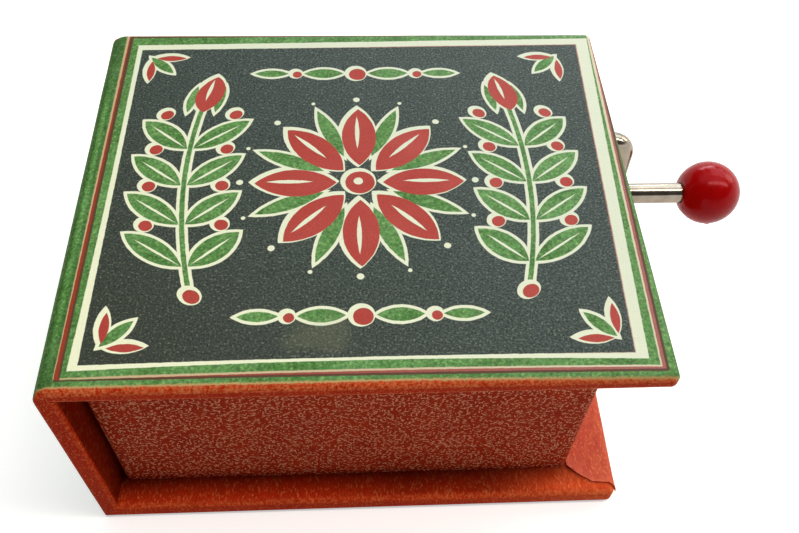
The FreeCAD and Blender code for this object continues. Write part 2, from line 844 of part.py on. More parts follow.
def build():
    """Every piece by name, at its place in the shut music box."""
    pieces = {}
    pieces.update(make_base())
    pieces.update(make_spine())
    pieces.update(make_lid())
    pieces.update(make_tray())
    pieces["mounting_screws"] = make_mounting_screws()
    pieces["bedplate"] = make_bedplate()
    pieces["comb"] = make_comb()
    pieces["comb_weights"] = make_comb_weights()
    pieces["comb_dampers"] = make_comb_dampers()
    pieces["comb_screws"] = make_comb_screws()
    pieces["crank_bracket"] = make_bracket()
    pieces["bracket_screws"] = make_bracket_screws()
    pieces.update(make_drum())
    pieces["worm_wheel"] = make_worm_wheel()
    pieces["crank_wire"] = make_crank_wire()
    pieces["worm"] = make_worm()
    pieces["shaft_ring"] = make_shaft_ring()
    pieces["knob"] = make_knob()
    return pieces


os.makedirs("parts", exist_ok=True)
for name, shape in build().items():
    shape.exportStep("parts/" + name + ".step")
    print(name, "solids", len(shape.Solids), "volume", round(shape.Volume, 2), "valid", shape.isValid())
print("lid turns on", [round(place, 3) for place in upper_fold()])
print("spine turns on", [round(place, 3) for place in lower_fold()])
print("shaft at y, z", round(shaft_y, 3), round(shaft_z, 3))
print("handle at y, z", round(handle_y, 3), round(handle_z, 3))
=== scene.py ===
import json
from functools import partialmethod
from math import atan2, cos, exp, pi, radians, sin, sqrt, tan, tau
import bmesh
import bpy
from mathutils import Matrix, Vector, noise


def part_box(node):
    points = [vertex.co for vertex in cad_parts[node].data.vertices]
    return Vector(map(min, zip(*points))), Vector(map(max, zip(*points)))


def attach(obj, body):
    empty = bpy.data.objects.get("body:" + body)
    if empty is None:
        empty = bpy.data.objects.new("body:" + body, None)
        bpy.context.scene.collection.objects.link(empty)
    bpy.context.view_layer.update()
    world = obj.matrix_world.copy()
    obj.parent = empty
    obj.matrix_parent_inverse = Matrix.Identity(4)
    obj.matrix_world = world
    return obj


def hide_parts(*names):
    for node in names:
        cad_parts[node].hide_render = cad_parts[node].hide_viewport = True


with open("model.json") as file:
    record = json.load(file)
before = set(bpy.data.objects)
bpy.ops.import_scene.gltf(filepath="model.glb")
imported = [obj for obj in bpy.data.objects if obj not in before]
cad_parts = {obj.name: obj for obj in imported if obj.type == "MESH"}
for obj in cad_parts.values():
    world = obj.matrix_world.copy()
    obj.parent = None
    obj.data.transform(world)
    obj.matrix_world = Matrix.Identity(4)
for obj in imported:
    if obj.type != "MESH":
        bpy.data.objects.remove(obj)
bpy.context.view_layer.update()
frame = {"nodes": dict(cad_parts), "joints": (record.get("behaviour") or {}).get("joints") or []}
nodes = frame["nodes"]
mm = 0.001
joint_place = {joint["name"]: Vector(joint["pos_m"]) / mm for joint in frame["joints"]}


# Camera. It stands above the front of the shut case, near its middle, and looks
# down on the lid with a slight roll.
photo_width_px = 799
focal_px = 875.7
sensor_width = 36.0
camera_place = Vector((-0.738, -76.525, 120.877)) * mm
camera_ahead = Vector((0.0536, 0.59383, -0.80279))
camera_right = Vector((0.99842, -0.04531, 0.03316))


def add_object(name, data):
    added = bpy.data.objects.new(name, data)
    bpy.context.scene.collection.objects.link(added)
    return added


def stand(thing, place, right, back):
    """Stands a camera or a lamp at a place, turned by where its right and back point."""
    turn = Matrix((right, back.cross(right), back)).transposed().to_4x4()
    thing.matrix_world = Matrix.Translation(place) @ turn


camera = add_object("camera", bpy.data.cameras.new("camera"))
camera.data.sensor_width = sensor_width
camera.data.lens = focal_px / photo_width_px * sensor_width
camera.data.clip_start = 5 * mm
camera.data.clip_end = 5
stand(camera, camera_place, camera_right, -camera_ahead)
bpy.context.scene.camera = camera


# Base board: the lowest of the three boards, 3 mm of grey pulp board cut from a
# sheet. Paper wraps it on every side, and a red strip is pressed into the fold.
fold_strip_x = -33.2
pulp_dark, pulp_light, chip_dark = (0.20, 0.185, 0.16), (0.36, 0.33, 0.29), (0.10, 0.09, 0.08)
strip_dark, strip_light = (0.36, 0.016, 0.003), (0.52, 0.040, 0.008)
sharp_angle = radians(35)
bevel_angle = radians(40)
weld_distance = 0.001 * mm


class Tone:
    """A value, vector or colour in a node tree. Arithmetic on values adds Math nodes."""

    def __init__(self, tree, socket=None):
        self.tree = tree
        self.socket = socket

    @staticmethod
    def pick(sockets, name):
        if isinstance(name, int):
            return sockets[name]
        return next(s for s in sockets if name in (s.identifier, s.name))

    @staticmethod
    def feed(socket, value):
        """Links a socket to a value that varies, or sets it to one that doesn't."""
        if isinstance(value, Tone):
            value.tree.links.new(value.socket, socket)
        else:
            socket.default_value = (*value, 1) if socket.type == "RGBA" else value

    def node(self, kind, settings, inputs, output=0):
        """Adds a node: first its settings, then the values or links of its sockets."""
        made = self.tree.nodes.new(kind)
        for name, value in settings.items():
            setattr(made, name, value)
        for name, value in inputs.items():
            self.feed(self.pick(made.inputs, name), value)
        return Tone(self.tree, self.pick(made.outputs, output))

    def other(self, name):
        """Another output of the same node."""
        return Tone(self.tree, self.pick(self.socket.node.outputs, name))

    def split(self):
        """The three parts of a vector."""
        parts = self.node("ShaderNodeSeparateXYZ", {}, {0: self})
        return [parts.other(axis) for axis in "XYZ"]

    def join(self, y, z):
        """A vector of three values, of which this is the first."""
        return self.node("ShaderNodeCombineXYZ", {}, {"X": self, "Y": y, "Z": z})

    def times(self, value):
        """A vector longer or shorter, or a colour lighter or darker, by a value."""
        inputs = {"Vector": self, "Scale": value}
        return self.node("ShaderNodeVectorMath", {"operation": "SCALE"}, inputs)

    def math(self, operation, *others, clamp=False):
        settings = {"operation": operation, "use_clamp": clamp}
        return self.node("ShaderNodeMath", settings, dict(enumerate((self, *others))))

    __add__ = __radd__ = partialmethod(math, "ADD")
    __mul__ = __rmul__ = partialmethod(math, "MULTIPLY")
    __sub__ = partialmethod(math, "SUBTRACT")
    __truediv__ = partialmethod(math, "DIVIDE")
    most = partialmethod(math, "MAXIMUM")
    size = partialmethod(math, "ABSOLUTE")

    def __rsub__(self, other):
        return self.node("ShaderNodeMath", {"operation": "SUBTRACT"}, {0: other, 1: self})

    def __neg__(self):
        return 0.0 - self

    def least(self, *others):
        for other in others:
            self = self.math("MINIMUM", other)
        return self

    def rise(self, start, end):
        """0 below start, 1 above end, even in between."""
        slope = 1 / (end - start)
        return self.math("MULTIPLY_ADD", slope, -start * slope, clamp=True)


class Finish:
    """A finish whose patterns are laid out in millimetres on the piece."""

    def __init__(self, name, roughness, metallic=0.0, gloss=0.5):
        self.material = bpy.data.materials.new(name)
        self.material.use_nodes = True
        self.tree = self.material.node_tree
        self.surface = self.tree.nodes["Principled BSDF"]
        self.set("Roughness", roughness)
        self.set("Metallic", metallic)
        self.set("Specular IOR Level", gloss)
        self.place = Tone(self.tree).node("ShaderNodeTexCoord", {}, {}, "Object").times(1 / mm)
        self.x, self.y, self.z = self.place.split()

    def cloud(self, size, detail=2.0, stretch=(1, 1, 1), turn=(0, 0, 0), shift=0.0):
        """Cloudy noise from about 0.2 to 0.8, with blots of about this size."""
        inputs = {"Vector": self.place, "Rotation": turn, "Scale": stretch, "Location": [shift] * 3}
        mapped = self.place.node("ShaderNodeMapping", {}, inputs)
        inputs = {"Vector": mapped, "Scale": 1 / size, "Detail": detail}
        return mapped.node("ShaderNodeTexNoise", {}, inputs, "Fac")

    def mix(self, share, a, b):
        """Colour a where the share is 0, colour b where it is 1."""
        inputs = {"Factor_Float": share, "A_Color": a, "B_Color": b}
        return self.place.node("ShaderNodeMix", {"data_type": "RGBA"}, inputs, "Result_Color")

    def layers(self, colour, *layers):
        """A colour with others laid over it, each given as its share and its colour."""
        for share, over in layers:
            colour = self.mix(share, colour, over)
        return colour

    def attribute(self, name):
        return self.place.node("ShaderNodeAttribute", {"attribute_name": name}, {}, "Fac")

    def set(self, name, value):
        Tone.feed(self.surface.inputs[name], value)

    def done(self, colour, height, depth):
        """Sets the colour, and a fine relief that is depth millimetres deep where height
        goes from 0 to 1."""
        inputs = {"Height": height, "Distance": depth * mm, "Strength": 1.0}
        self.set("Base Color", colour)
        self.set("Normal", height.node("ShaderNodeBump", {}, inputs))
        return self


def coat(data, finish):
    """Gives a mesh its finish, with smooth shading between its sharp edges."""
    data.materials.clear()
    data.materials.append(finish.material)
    data.shade_smooth()
    data.set_sharp_from_angle(angle=sharp_angle)


def dress(node, finish, soften=0.0):
    """Gives a CAD node its finish, and breaks its sharp edges by this much."""
    piece = nodes[node]
    coat(piece.data, finish)
    if soften:
        piece.modifiers.new("weld", "WELD").merge_threshold = weld_distance
        bevel = piece.modifiers.new("bevel", "BEVEL")
        bevel.width = soften * mm
        bevel.segments = 2
        bevel.limit_method = "ANGLE"
        bevel.angle_limit = bevel_angle
        bevel.harden_normals = True


def make_greyboard():
    finish = Finish("greyboard", roughness=0.9)
    pulp = finish.cloud(0.8, 4)
    chips = finish.cloud(0.25, 2, stretch=(1, 1, 3))
    strip = finish.mix(pulp, strip_dark, strip_light).times(0.6 + 0.8 * chips)
    colour = finish.layers(
        finish.mix(pulp, pulp_dark, pulp_light), (chips.rise(0.62, 0.72), chip_dark),
        (finish.x.rise(fold_strip_x, fold_strip_x - 0.1), strip),
    )
    return finish.done(colour, chips + pulp, 0.05)


greyboard = make_greyboard()
dress("base_board", greyboard)


# Base cover: red paper, drawn over the board's underside and edges and glued down on
# top in turned-in strips, with a lining sheet between them. The skin is the paper's
# own thickness, and a few hundredths uneven as paper over board is.
paper = 0.25
board_grid = 1.5
edge_round = 0.9
round_steps = 6
edge_ease = 0.35
heel_width = 0.5
heel_pull, fold_pull = (0.3, 1), (0.588, 0.838)
sag_depth = 0.05
sag_size = 7.0
hair = 1e-4
merge_distance = 0.004
red_deep, red_bright, red_fibre = (0.47, 0.019, 0.002), (0.58, 0.034, 0.005), (0.88, 0.26, 0.075)
red_rubbed_and_lit, red_foot_shadow = (0.84, 0.18, 0.055), (0.07, 0.010, 0.004)
foot_shadow_height = (0.60, 0.25)
fade_and_light_reach = (14.0, 34.0)
tray_shade_width = (0.2, 2.8)
# Where the painted shade lies on the strip in front of the tray.
strip_shade_left, strip_shade_right, strip_shade_front = (-8.0, 6.0), (27.5, 18.5), (29.9, 29.0)


def in_mm(corners):
    return [corner / mm for corner in corners]


def bend(centre, radius, start, end):
    """A rounded corner of a section: each point, the way it moves when drawn in, and
    whether the paper is left off after it."""
    points = []
    for step in range(round_steps + 1):
        angle = radians(start + (end - start) * step / round_steps)
        away = Vector((cos(angle), sin(angle)))
        points.append((Vector(centre) + radius * away, -away, False))
    return points


def straight(start, end, pull, pull_start=None, pull_end=None, stops=(), bare_end=False):
    """A straight side of a section, cut about every board_grid and at the stops."""
    start, end = Vector(start), Vector(end)
    length = (end - start).length
    count = max(1, round(length / board_grid))
    shares = {step / count for step in range(count + 1)}
    if length > 4 * edge_ease:
        shares |= {edge_ease / length, 1 - edge_ease / length}
    shares |= {(Vector(stop) - start).length / length for stop in stops}
    end_pulls = {0: pull_start or pull, 1: pull_end or pull}
    return [
        (start.lerp(end, share), Vector(end_pulls.get(share, pull)), bare_end and share == 1)
        for share in sorted(shares)
    ]


def sag(x, y, z):
    """How far the paper lies in from its nominal face, in millimetres."""
    return sag_depth * (0.5 + 0.5 * noise.noise(Vector((x, y, z)) / sag_size))


def cover_skin(section, sheet, round_by):
    """Paper skin round a board, as thick as the paper. The section, x and z in
    millimetres, runs from front to back, drawn in to a rounded edge at both ends. It is
    left open where the lining sheet lies, from its lowest to its highest corner."""
    front, back = base_low.y, base_high.y
    window = list(zip(*sheet))
    outline = section[:1]
    for point in section[1:]:
        if (point[0] - outline[-1][0]).length > hair:
            outline.append(point)
    first, last = front + round_by, back - round_by
    count = round((last - first) / board_grid)
    places = {first + (last - first) * step / count for step in range(1, count)}
    places |= {first + edge_ease, last - edge_ease, *window[1]}

    mesh = bmesh.new()
    edge_layer = mesh.verts.layers.float.new("edge")
    layers = []
    for inset in (0.0, paper):
        radius = round_by - inset
        turns = [pi / 2 * step / round_steps for step in range(round_steps + 1)]
        ends = [(round_by - radius * cos(t), round_by - radius * sin(t)) for t in turns]
        rows = [(front + way, drawn) for way, drawn in ends]
        rows += [(y, inset) for y in sorted(places)]
        rows += [(back - way, drawn) for way, drawn in reversed(ends)]
        grid = []
        for y, drawn in rows:
            line = []
            for point, way, bare in outline:
                sunk = 0.0 if inset else sag(point.x, y, point.y)
                moved = point + way * (drawn + sunk)
                vertex = mesh.verts.new((moved.x, y, moved.y))
                vertex[edge_layer] = float(0.1 * round_by < drawn < 0.9 * round_by and not inset)
                line.append(vertex)
            grid.append(line)
        layers.append(grid)

    outer, inner = layers
    across, along = len(outline), len(outer) - 1

    def corners(grid, row, place):
        after = (place + 1) % across
        return [grid[row][place], grid[row][after], grid[row + 1][after], grid[row + 1][place]]

    cells = [(row, place) for row in range(along) for place in range(across)]
    opened = set()
    for cell in cells:
        middle = sum((corner.co for corner in corners(outer, *cell)), Vector()) / 4
        spans = zip(middle, window)
        bare = outline[cell[1]][2]
        if bare or all(low - hair < value < high + hair for value, (low, high) in spans):
            opened.add(cell)
    for grid in layers:
        for cell in cells:
            if cell not in opened:
                mesh.faces.new(corners(grid, *cell))
        mesh.faces.new(grid[0])
        mesh.faces.new(grid[-1])
    for row, place in opened:
        before, after = (place - 1) % across, (place + 1) % across
        sides = (
            ((row - 1, place), (row, place), (row, after)),
            ((row + 1, place), (row + 1, place), (row + 1, after)),
            ((row, before), (row, place), (row + 1, place)),
            ((row, after), (row, after), (row + 1, after)),
        )
        for beside, (a, b), (c, d) in sides:
            if beside not in opened:
                mesh.faces.new((outer[a][b], outer[c][d], inner[c][d], inner[a][b]))
    bmesh.ops.remove_doubles(mesh, verts=mesh.verts, dist=merge_distance)
    bmesh.ops.dissolve_degenerate(mesh, edges=mesh.edges, dist=merge_distance)
    bmesh.ops.recalc_face_normals(mesh, faces=mesh.faces)
    return mesh


def mesh_data(name, mesh):
    data = bpy.data.meshes.new(name)
    mesh.to_mesh(data)
    mesh.free()
    return data


def make_piece(name, mesh, body, finish, replaced=()):
    """Turns a mesh in millimetres into a named piece that rides on a body."""
    bmesh.ops.transform(mesh, matrix=Matrix.Scale(mm, 4), verts=mesh.verts)
    place_piece(name, mesh_data(name, mesh), body, finish, replaced)


def place_piece(name, data, body, finish, replaced=()):
    """Shows a finished mesh in metres as a named piece that rides on a body."""
    coat(data, finish)
    piece = add_object(name, data)
    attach(piece, body)
    if replaced:
        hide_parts(*replaced)


def red_ground(finish, fade_and_sheen=0.0, fade_and_light_right=0.3):
    """Red coated paper: cloudy ink, a fine tooth with pale fibres, rounded edges lighter as rubbed wear
    and painted highlight, patches lighter as fading and painted sheen, more so towards the right, and a
    painted contact shadow along the foot. Gives its colour and its tooth."""
    clouds = finish.cloud(6.0, 3)
    tooth = finish.cloud(0.20, 3)
    fibre = finish.cloud(0.26, 2, stretch=(1.0, 0.45, 0.7), turn=(0, 0, 0.7))
    # Rounded edges lighter: rubbed wear and painted highlight.
    rubbed_and_lit = finish.attribute("edge") * finish.cloud(0.5, 3).rise(0.40, 0.62)
    fade_and_light_patches = finish.cloud(0.7, 4, stretch=(1.0, 0.4, 1.0), turn=(0, 0, -0.6)).rise(0.20, 0.75)
    # Lighter patches, part fading and part painted sheen and light, grow towards the right.
    fade_and_sheen = fade_and_sheen + fade_and_light_right * finish.x.rise(*fade_and_light_reach)
    colour = finish.layers(
        finish.mix(clouds.rise(0.3, 0.7), red_deep, red_bright).times(0.26 + 1.48 * tooth),
        (fibre.rise(0.54, 0.70) * 0.60, red_fibre), (rubbed_and_lit * 0.40 + fade_and_sheen * fade_and_light_patches, red_rubbed_and_lit),
        # Painted contact shadow: the foot of the paper is darkened.
        (finish.z.rise(*foot_shadow_height) * 0.85, red_foot_shadow),
    )
    finish.set("Roughness", 0.44 + 0.22 * clouds)
    return colour, tooth + fibre * 0.5


def make_red_paper(name, fade_and_sheen=0.0, fade_and_light_right=0.4, level=1.0, painted_tray_shade=1.0, painted_strip_shade=0.0, varnish=0.0):
    """Red paper scaled to its level: above 1 a painted light, below 1 a painted shade. Close to the
    tray it takes another level, a painted shade, and a painted shade lies on the strip in front of the
    tray."""
    finish = Finish(name, roughness=0.5, gloss=0.02)
    finish.set("Coat Weight", varnish)
    finish.set("Coat Roughness", 0.4)
    colour, tooth = red_ground(finish, fade_and_sheen, fade_and_light_right)
    # Painted shade: darker close to the tray's foot.
    outward = (finish.y.size() - tray_high.y).most(finish.x - tray_high.x).rise(*tray_shade_width)
    colour = colour.times(painted_tray_shade + (level - painted_tray_shade) * outward)
    # Painted shade on the strip in front of the tray, fading out at its ends.
    if painted_strip_shade:
        strip = (-finish.y).rise(tray_high.y - 0.1, tray_high.y) * (-finish.y).rise(*strip_shade_front)
        strip = strip * finish.x.rise(*strip_shade_left) * finish.x.rise(*strip_shade_right)
        colour = colour.times(1.0 - painted_strip_shade * strip)
    return finish.done(colour, tooth, 0.03)


base_low, base_high = in_mm(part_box("base_cover_paper"))
spine_low, spine_high = in_mm(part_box("spine_cover_paper"))
lid_low, lid_high = in_mm(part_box("lid_cover_paper"))
tray_low, tray_high = in_mm(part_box("tray_wrap_paper"))
base_sheet = in_mm(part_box("base_lining_paper"))
base_fold = joint_place["spine_fold"]
spine_in = spine_high.x


def base_section():
    """Section of the base: from the fold under the board to the right, back over its top."""
    right, top = base_high.x, base_high.z
    near, over = right - edge_round, top - edge_round
    lean = (spine_in - base_fold.x) / (top - base_fold.z)
    points = [(Vector((base_fold.x, base_fold.z)), Vector(fold_pull), False)]
    points += straight((base_fold.x + heel_width, 0), (near, 0), (0, 1), pull_start=heel_pull)
    points += bend((near, edge_round), edge_round, -90, 0)
    points += straight((right, edge_round), (right, over), (-1, 0))
    points += bend((near, over), edge_round, 0, 90)
    points += straight(
        (near, top), (spine_in, top), (0, -1), pull_end=(-lean, -1),
        stops=[(base_sheet[1].x, top), (base_sheet[0].x, top)], bare_end=True,
    )
    return points


# The base paper is lightened by its level as painted light, and darkened near the tray and on the front
# strip as painted shade.
red_paper = make_red_paper(
    "red_paper", fade_and_sheen=0.10, fade_and_light_right=0.6, level=1.16, painted_tray_shade=0.56, painted_strip_shade=0.42
)
base_skin = cover_skin(base_section(), base_sheet, edge_round)
make_piece("base_cover", base_skin, "case", red_paper, ["base_cover_paper"])


# Side flap of the base: the side strip of the paper was glued last, so its edge shows
# on top between the tray and the base's right edge. Its cut corners are a little ragged.
flap_lift = 0.12
flap_curl, curl_reach = 0.16, 0.9
flap_sink = 0.05
flap_x = 29.5
flap_foot, flap_fade = 0.9, 1.2
flap_rows, flap_step = 60, 0.3
flap_ragged = 0.12
flap_corner = [
    (0.0, -25.85), (1.55, -27.25), (3.25, -28.35), (5.6, -28.6), (6.3, -29.05), (6.7, -29.5),
    (7.1, -29.45), (7.5, -28.9), (20.0, -28.7),
]


def drawn_in(y):
    """How far the base's rounded ends draw its section in at this depth."""
    short = max(0.0, edge_round - (base_high.y - abs(y)))
    return edge_round - sqrt(max(0.0, edge_round ** 2 - short ** 2))


def flap_edge(way):
    """Where the flap's front edge lies after this way along the base's section."""
    for (start, y_start), (end, y_end) in zip(flap_corner, flap_corner[1:]):
        if way <= end:
            share = (way - start) / (end - start)
            ragged = flap_ragged * noise.noise(Vector((way * 1.7, 3, 0)))
            return y_start + (y_end - y_start) * share + ragged


def make_flap():
    right, top = base_high.x, base_high.z
    near, over = right - edge_round, top - edge_round
    section = straight((flap_x, top), (near, top), (0, -1))
    section += bend((near, over), edge_round, 90, 0)
    section += straight((right, over), (right, flap_foot), (-1, 0))
    finer = []
    for (a, way_a, _), (b, way_b, _) in zip(section, section[1:]):
        pieces = max(1, round((b - a).length / flap_step))
        finer += [(a.lerp(b, k / pieces), way_a.lerp(way_b, k / pieces)) for k in range(pieces)]
    finer.append(section[-1][:2])
    mesh = bmesh.new()
    edge_layer = mesh.verts.layers.float.new("edge")
    layers = []
    for side in (1, 0):
        grid, travelled = [], 0.0
        for place, (point, way) in enumerate(finer):
            if place:
                travelled += (point - finer[place - 1][0]).length
            fade = min(1.0, max(0.0, point.y - flap_foot) / flap_fade)
            lift = side * (flap_lift + flap_sink) * fade - flap_sink
            start = flap_edge(travelled)
            line = []
            for step in range(flap_rows + 1):
                y = start - 2 * start * step / flap_rows
                curl = flap_curl * fade * exp(-(abs(start) - abs(y)) / curl_reach)
                moved = point + way * (drawn_in(y) - lift - curl)
                vertex = mesh.verts.new((moved.x, y, moved.y))
                vertex[edge_layer] = float(side and (place == 0 or step in (0, flap_rows)))
                line.append(vertex)
            grid.append(line)
        layers.append(grid)
    close_sheet(mesh, layers)
    return mesh


def close_sheet(mesh, layers):
    """Faces over two matching grids of points and round their border."""
    outer, inner = layers
    along, across = len(outer) - 1, len(outer[0]) - 1
    for grid in layers:
        for a in range(along):
            for b in range(across):
                mesh.faces.new((grid[a][b], grid[a][b + 1], grid[a + 1][b + 1], grid[a + 1][b]))
    border = [(a, 0) for a in range(along)] + [(along, b) for b in range(across)]
    border += [(a, across) for a in range(along, 0, -1)] + [(0, b) for b in range(across, 0, -1)]
    for (a, b), (c, d) in zip(border, border[1:] + border[:1]):
        mesh.faces.new((outer[a][b], outer[c][d], inner[c][d], inner[a][b]))
    bmesh.ops.remove_doubles(mesh, verts=mesh.verts, dist=0.001)
    bmesh.ops.recalc_face_normals(mesh, faces=mesh.faces)


# The flap's lighter patches are partly painted sheen.
flap_paper = make_red_paper("flap_paper", fade_and_sheen=0.15, varnish=0.5)
make_piece("base_flap", make_flap(), "case", flap_paper)


# Tray: four walls and a floor of the same grey board, wrapped in dark red paper with
# short pale threads in it, and papered inside with plain ivory sheets.
strand_layers = ((0.72, 0.0), (0.95, 5.3), (0.60, 11.9))
strand_half_length = 0.26
strand_half_width = 0.064
strand_bow = 1.2
fleck_deep, fleck_bright = (0.39, 0.021, 0.003), (0.48, 0.034, 0.006)
fleck_thread = (0.94, 0.44, 0.25)
ivory_dark, ivory_light = (0.60, 0.53, 0.40), (0.72, 0.66, 0.53)


def strands(along_wall, up_wall, size, shift):
    """One short, slightly bowed thread in each cell of a loose grid, turned at random."""
    u, v = along_wall + shift, up_wall + shift * 0.7
    inputs = {"Vector": u.join(v, 0.0), "Scale": 1 / size}
    cell = u.node("ShaderNodeTexVoronoi", {"voronoi_dimensions": "2D"}, inputs, "Position")
    middle_u, middle_v, _ = cell.split()
    turned, bowed, long = cell.other("Color").split()
    u, v = u - middle_u, v - middle_v
    turn = turned * tau
    cosine, sine = turn.math("COSINE"), turn.math("SINE")
    along = u * cosine + v * sine
    across = v * cosine - u * sine + along * along * ((bowed - 0.5) * strand_bow)
    length = size * strand_half_length * (0.6 + 0.8 * long)
    ends = (along.size() - length).rise(0.03, -0.03)
    bright = 2.1 * (bowed * 7.0).math("FRACT") - 0.26
    return ends * bright * across.size().rise(strand_half_width + 0.02, strand_half_width - 0.02)


def make_flecked_paper():
    finish = Finish("flecked_paper", roughness=0.5, gloss=0.02)
    middle_x = (tray_low.x + tray_high.x) / 2
    from_side = (tray_high.x - middle_x) - (finish.x - middle_x).size()
    from_front = tray_high.y - finish.y.size()
    on_side = (from_front - from_side).rise(-0.01, 0.01)
    on_top = finish.z.rise(tray_high.z - 0.06, tray_high.z - 0.04)
    along_wall = finish.x + on_side * (1.0 - on_top) * (finish.y - finish.x)
    up_wall = finish.z + on_top * (finish.y - finish.z)
    clouds = finish.cloud(4.0, 3)
    tooth = finish.cloud(0.16, 2)
    colour = finish.mix(clouds.rise(0.3, 0.7), fleck_deep, fleck_bright).times(0.40 + 1.2 * tooth)
    first, second, third = (strands(along_wall, up_wall, *layer) for layer in strand_layers)
    threads = first.most(second).most(third)
    colour = finish.mix(threads.most(0.0) * (0.50 + 1.15 * tooth), colour, fleck_thread)
    finish.set("Roughness", 0.40 + 0.25 * clouds)
    return finish.done(colour, tooth + threads, 0.03)


def make_ivory_paper():
    finish = Finish("ivory_paper", roughness=0.75)
    fibre = finish.cloud(0.35, 3, stretch=(1.0, 0.3, 1.0), turn=(0, 0, 0.5))
    colour = finish.mix(finish.cloud(9.0, 3), ivory_dark, ivory_light).times(0.88 + 0.24 * fibre)
    return finish.done(colour, fibre, 0.04)


flecked_paper = make_flecked_paper()
ivory_paper = make_ivory_paper()
for wall in ("tray_floor", "tray_wall_front", "tray_wall_back", "tray_wall_left", "tray_wall_right"):
    dress(wall, greyboard)
dress("tray_wrap_paper", flecked_paper)
for sheet in ("base_lining_paper", "tray_lining_paper", "tray_floor_paper"):
    dress(sheet, ivory_paper)


# Movement: a cast bedplate with a ground steel comb, turned brass drum, moulded nylon
# wheel, brass worm and a stamped, nickel-plated bracket. Cast, turned and stamped
# edges are broken by a few hundredths of a millimetre.
def make_metal(
    name, light, dark, roughness, cloud_size, grain_size,
    stretch=(1, 1, 1), metallic=1.0, relief=0.01,
):
    """Metal with cloudy tarnish and a grain, drawn out the way it was worked."""
    finish = Finish(name, roughness, metallic)
    clouds = finish.cloud(cloud_size, 4)
    grain = finish.cloud(grain_size, 3, stretch=stretch, shift=5.0)
    colour = finish.mix(clouds.rise(0.3, 0.7), dark, light).times(0.86 + 0.28 * grain)
    finish.set("Roughness", (roughness - 0.12) + 0.24 * grain)
    return finish.done(colour, grain, relief)


metals = (
    # Light and dark tone, roughness, size of clouds and of grain, what else it needs,
    # then its pieces with the width of their broken edges.
    ("cast_bedplate", (0.52, 0.50, 0.47), (0.36, 0.35, 0.33), 0.48, 2.5, 0.35, {"relief": 0.05},
     {"bedplate": 0.15}),
    ("comb_steel", (0.58, 0.57, 0.55), (0.42, 0.41, 0.40), 0.32, 5.0, 0.12,
     {"stretch": (0.06, 1, 1)}, {"comb": 0.03}),
    ("lead", (0.22, 0.22, 0.23), (0.13, 0.13, 0.14), 0.6, 0.8, 0.3, {"relief": 0.03},
     {"comb_weights": 0.05}),
    ("nickel_sheet", (0.62, 0.59, 0.53), (0.50, 0.47, 0.42), 0.28, 3.0, 0.2,
     {"stretch": (1, 0.2, 1)}, {"crank_bracket": 0.1}),
    ("turned_brass", (0.60, 0.44, 0.17), (0.44, 0.30, 0.11), 0.28, 3.0, 0.15,
     {"stretch": (1, 5, 1)}, {"drum_shell": 0, "drum_cap_front": 0.06, "drum_cap_back": 0.06}),
    ("worm_brass", (0.62, 0.45, 0.18), (0.48, 0.33, 0.12), 0.25, 1.5, 0.12,
     {"stretch": (4, 1, 1)}, {"worm": 0}),
    ("screw_steel", (0.50, 0.49, 0.47), (0.33, 0.32, 0.31), 0.34, 1.2, 0.12, {},
     {"comb_screws": 0.05, "bracket_screws": 0.05, "drum_arbor": 0.05, "shaft_ring": 0.06}),
    ("zinc_plate", (0.56, 0.54, 0.45), (0.42, 0.41, 0.36), 0.36, 1.5, 0.15, {},
     {"mounting_screws": 0.05}),
    ("damper_film", (0.62, 0.66, 0.70), (0.50, 0.54, 0.58), 0.3, 0.6, 0.1, {"metallic": 0.0},
     {"comb_dampers": 0}),
)
for *settings, others, pieces in metals:
    metal = make_metal(*settings, **others)
    for piece, soften in pieces.items():
        dress(piece, metal, soften)

nylon = make_metal("nylon", (0.74, 0.72, 0.66), (0.64, 0.62, 0.56), 0.42, 4.0, 0.5, metallic=0.0)
nylon.set("Subsurface Weight", 0.15)
nylon.set("Subsurface Radius", (0.001, 0.0009, 0.0008))
dress("worm_wheel", nylon)


# Pins of the drum: short steel wire set in drilled holes on the tracks of the comb's
# teeth, and ground off to one height. Their places follow the part's made-up tune.
pin_steps = 40
tooth_count = 18
tooth_pitch = 1.1
pin_radius = 0.2
pin_root = 0.6
pin_sides = 10


class Weave:
    """Builds a geometry node tree and shows its result as a plain mesh."""

    def __init__(self, name):
        self.tree = bpy.data.node_groups.new(name, "GeometryNodeTree")
        self.tree.is_modifier = True
        for way in ("INPUT", "OUTPUT"):
            self.tree.interface.new_socket("Geometry", in_out=way, socket_type="NodeSocketGeometry")
        self.inlet = self.tree.nodes.new("NodeGroupInput")
        self.values = {}

    def input(self, name, kind, value):
        """A named input of the tree, and the value that it is given."""
        socket = self.tree.interface.new_socket(name, in_out="INPUT", socket_type="NodeSocket" + kind)
        self.values[socket.identifier] = value
        return Tone(self.tree, Tone.pick(self.inlet.outputs, name))

    def mesh(self, start, geometry, finish):
        """Runs the tree on a start mesh. Its copies become real, and take the finish."""
        real = geometry.node("GeometryNodeRealizeInstances", {}, {0: geometry})
        inputs = {"Geometry": real, "Material": finish.material}
        dressed = real.node("GeometryNodeSetMaterial", {}, inputs)
        Tone.feed(self.tree.nodes.new("NodeGroupOutput").inputs[0], dressed)
        carrier = add_object(start.name, start)
        modifier = carrier.modifiers.new("build", "NODES")
        modifier.node_group = self.tree
        for identifier, value in self.values.items():
            modifier[identifier] = value
        bpy.context.view_layer.update()
        seen = carrier.evaluated_get(bpy.context.evaluated_depsgraph_get())
        data = bpy.data.meshes.new_from_object(seen)
        bpy.data.objects.remove(carrier)
        return data


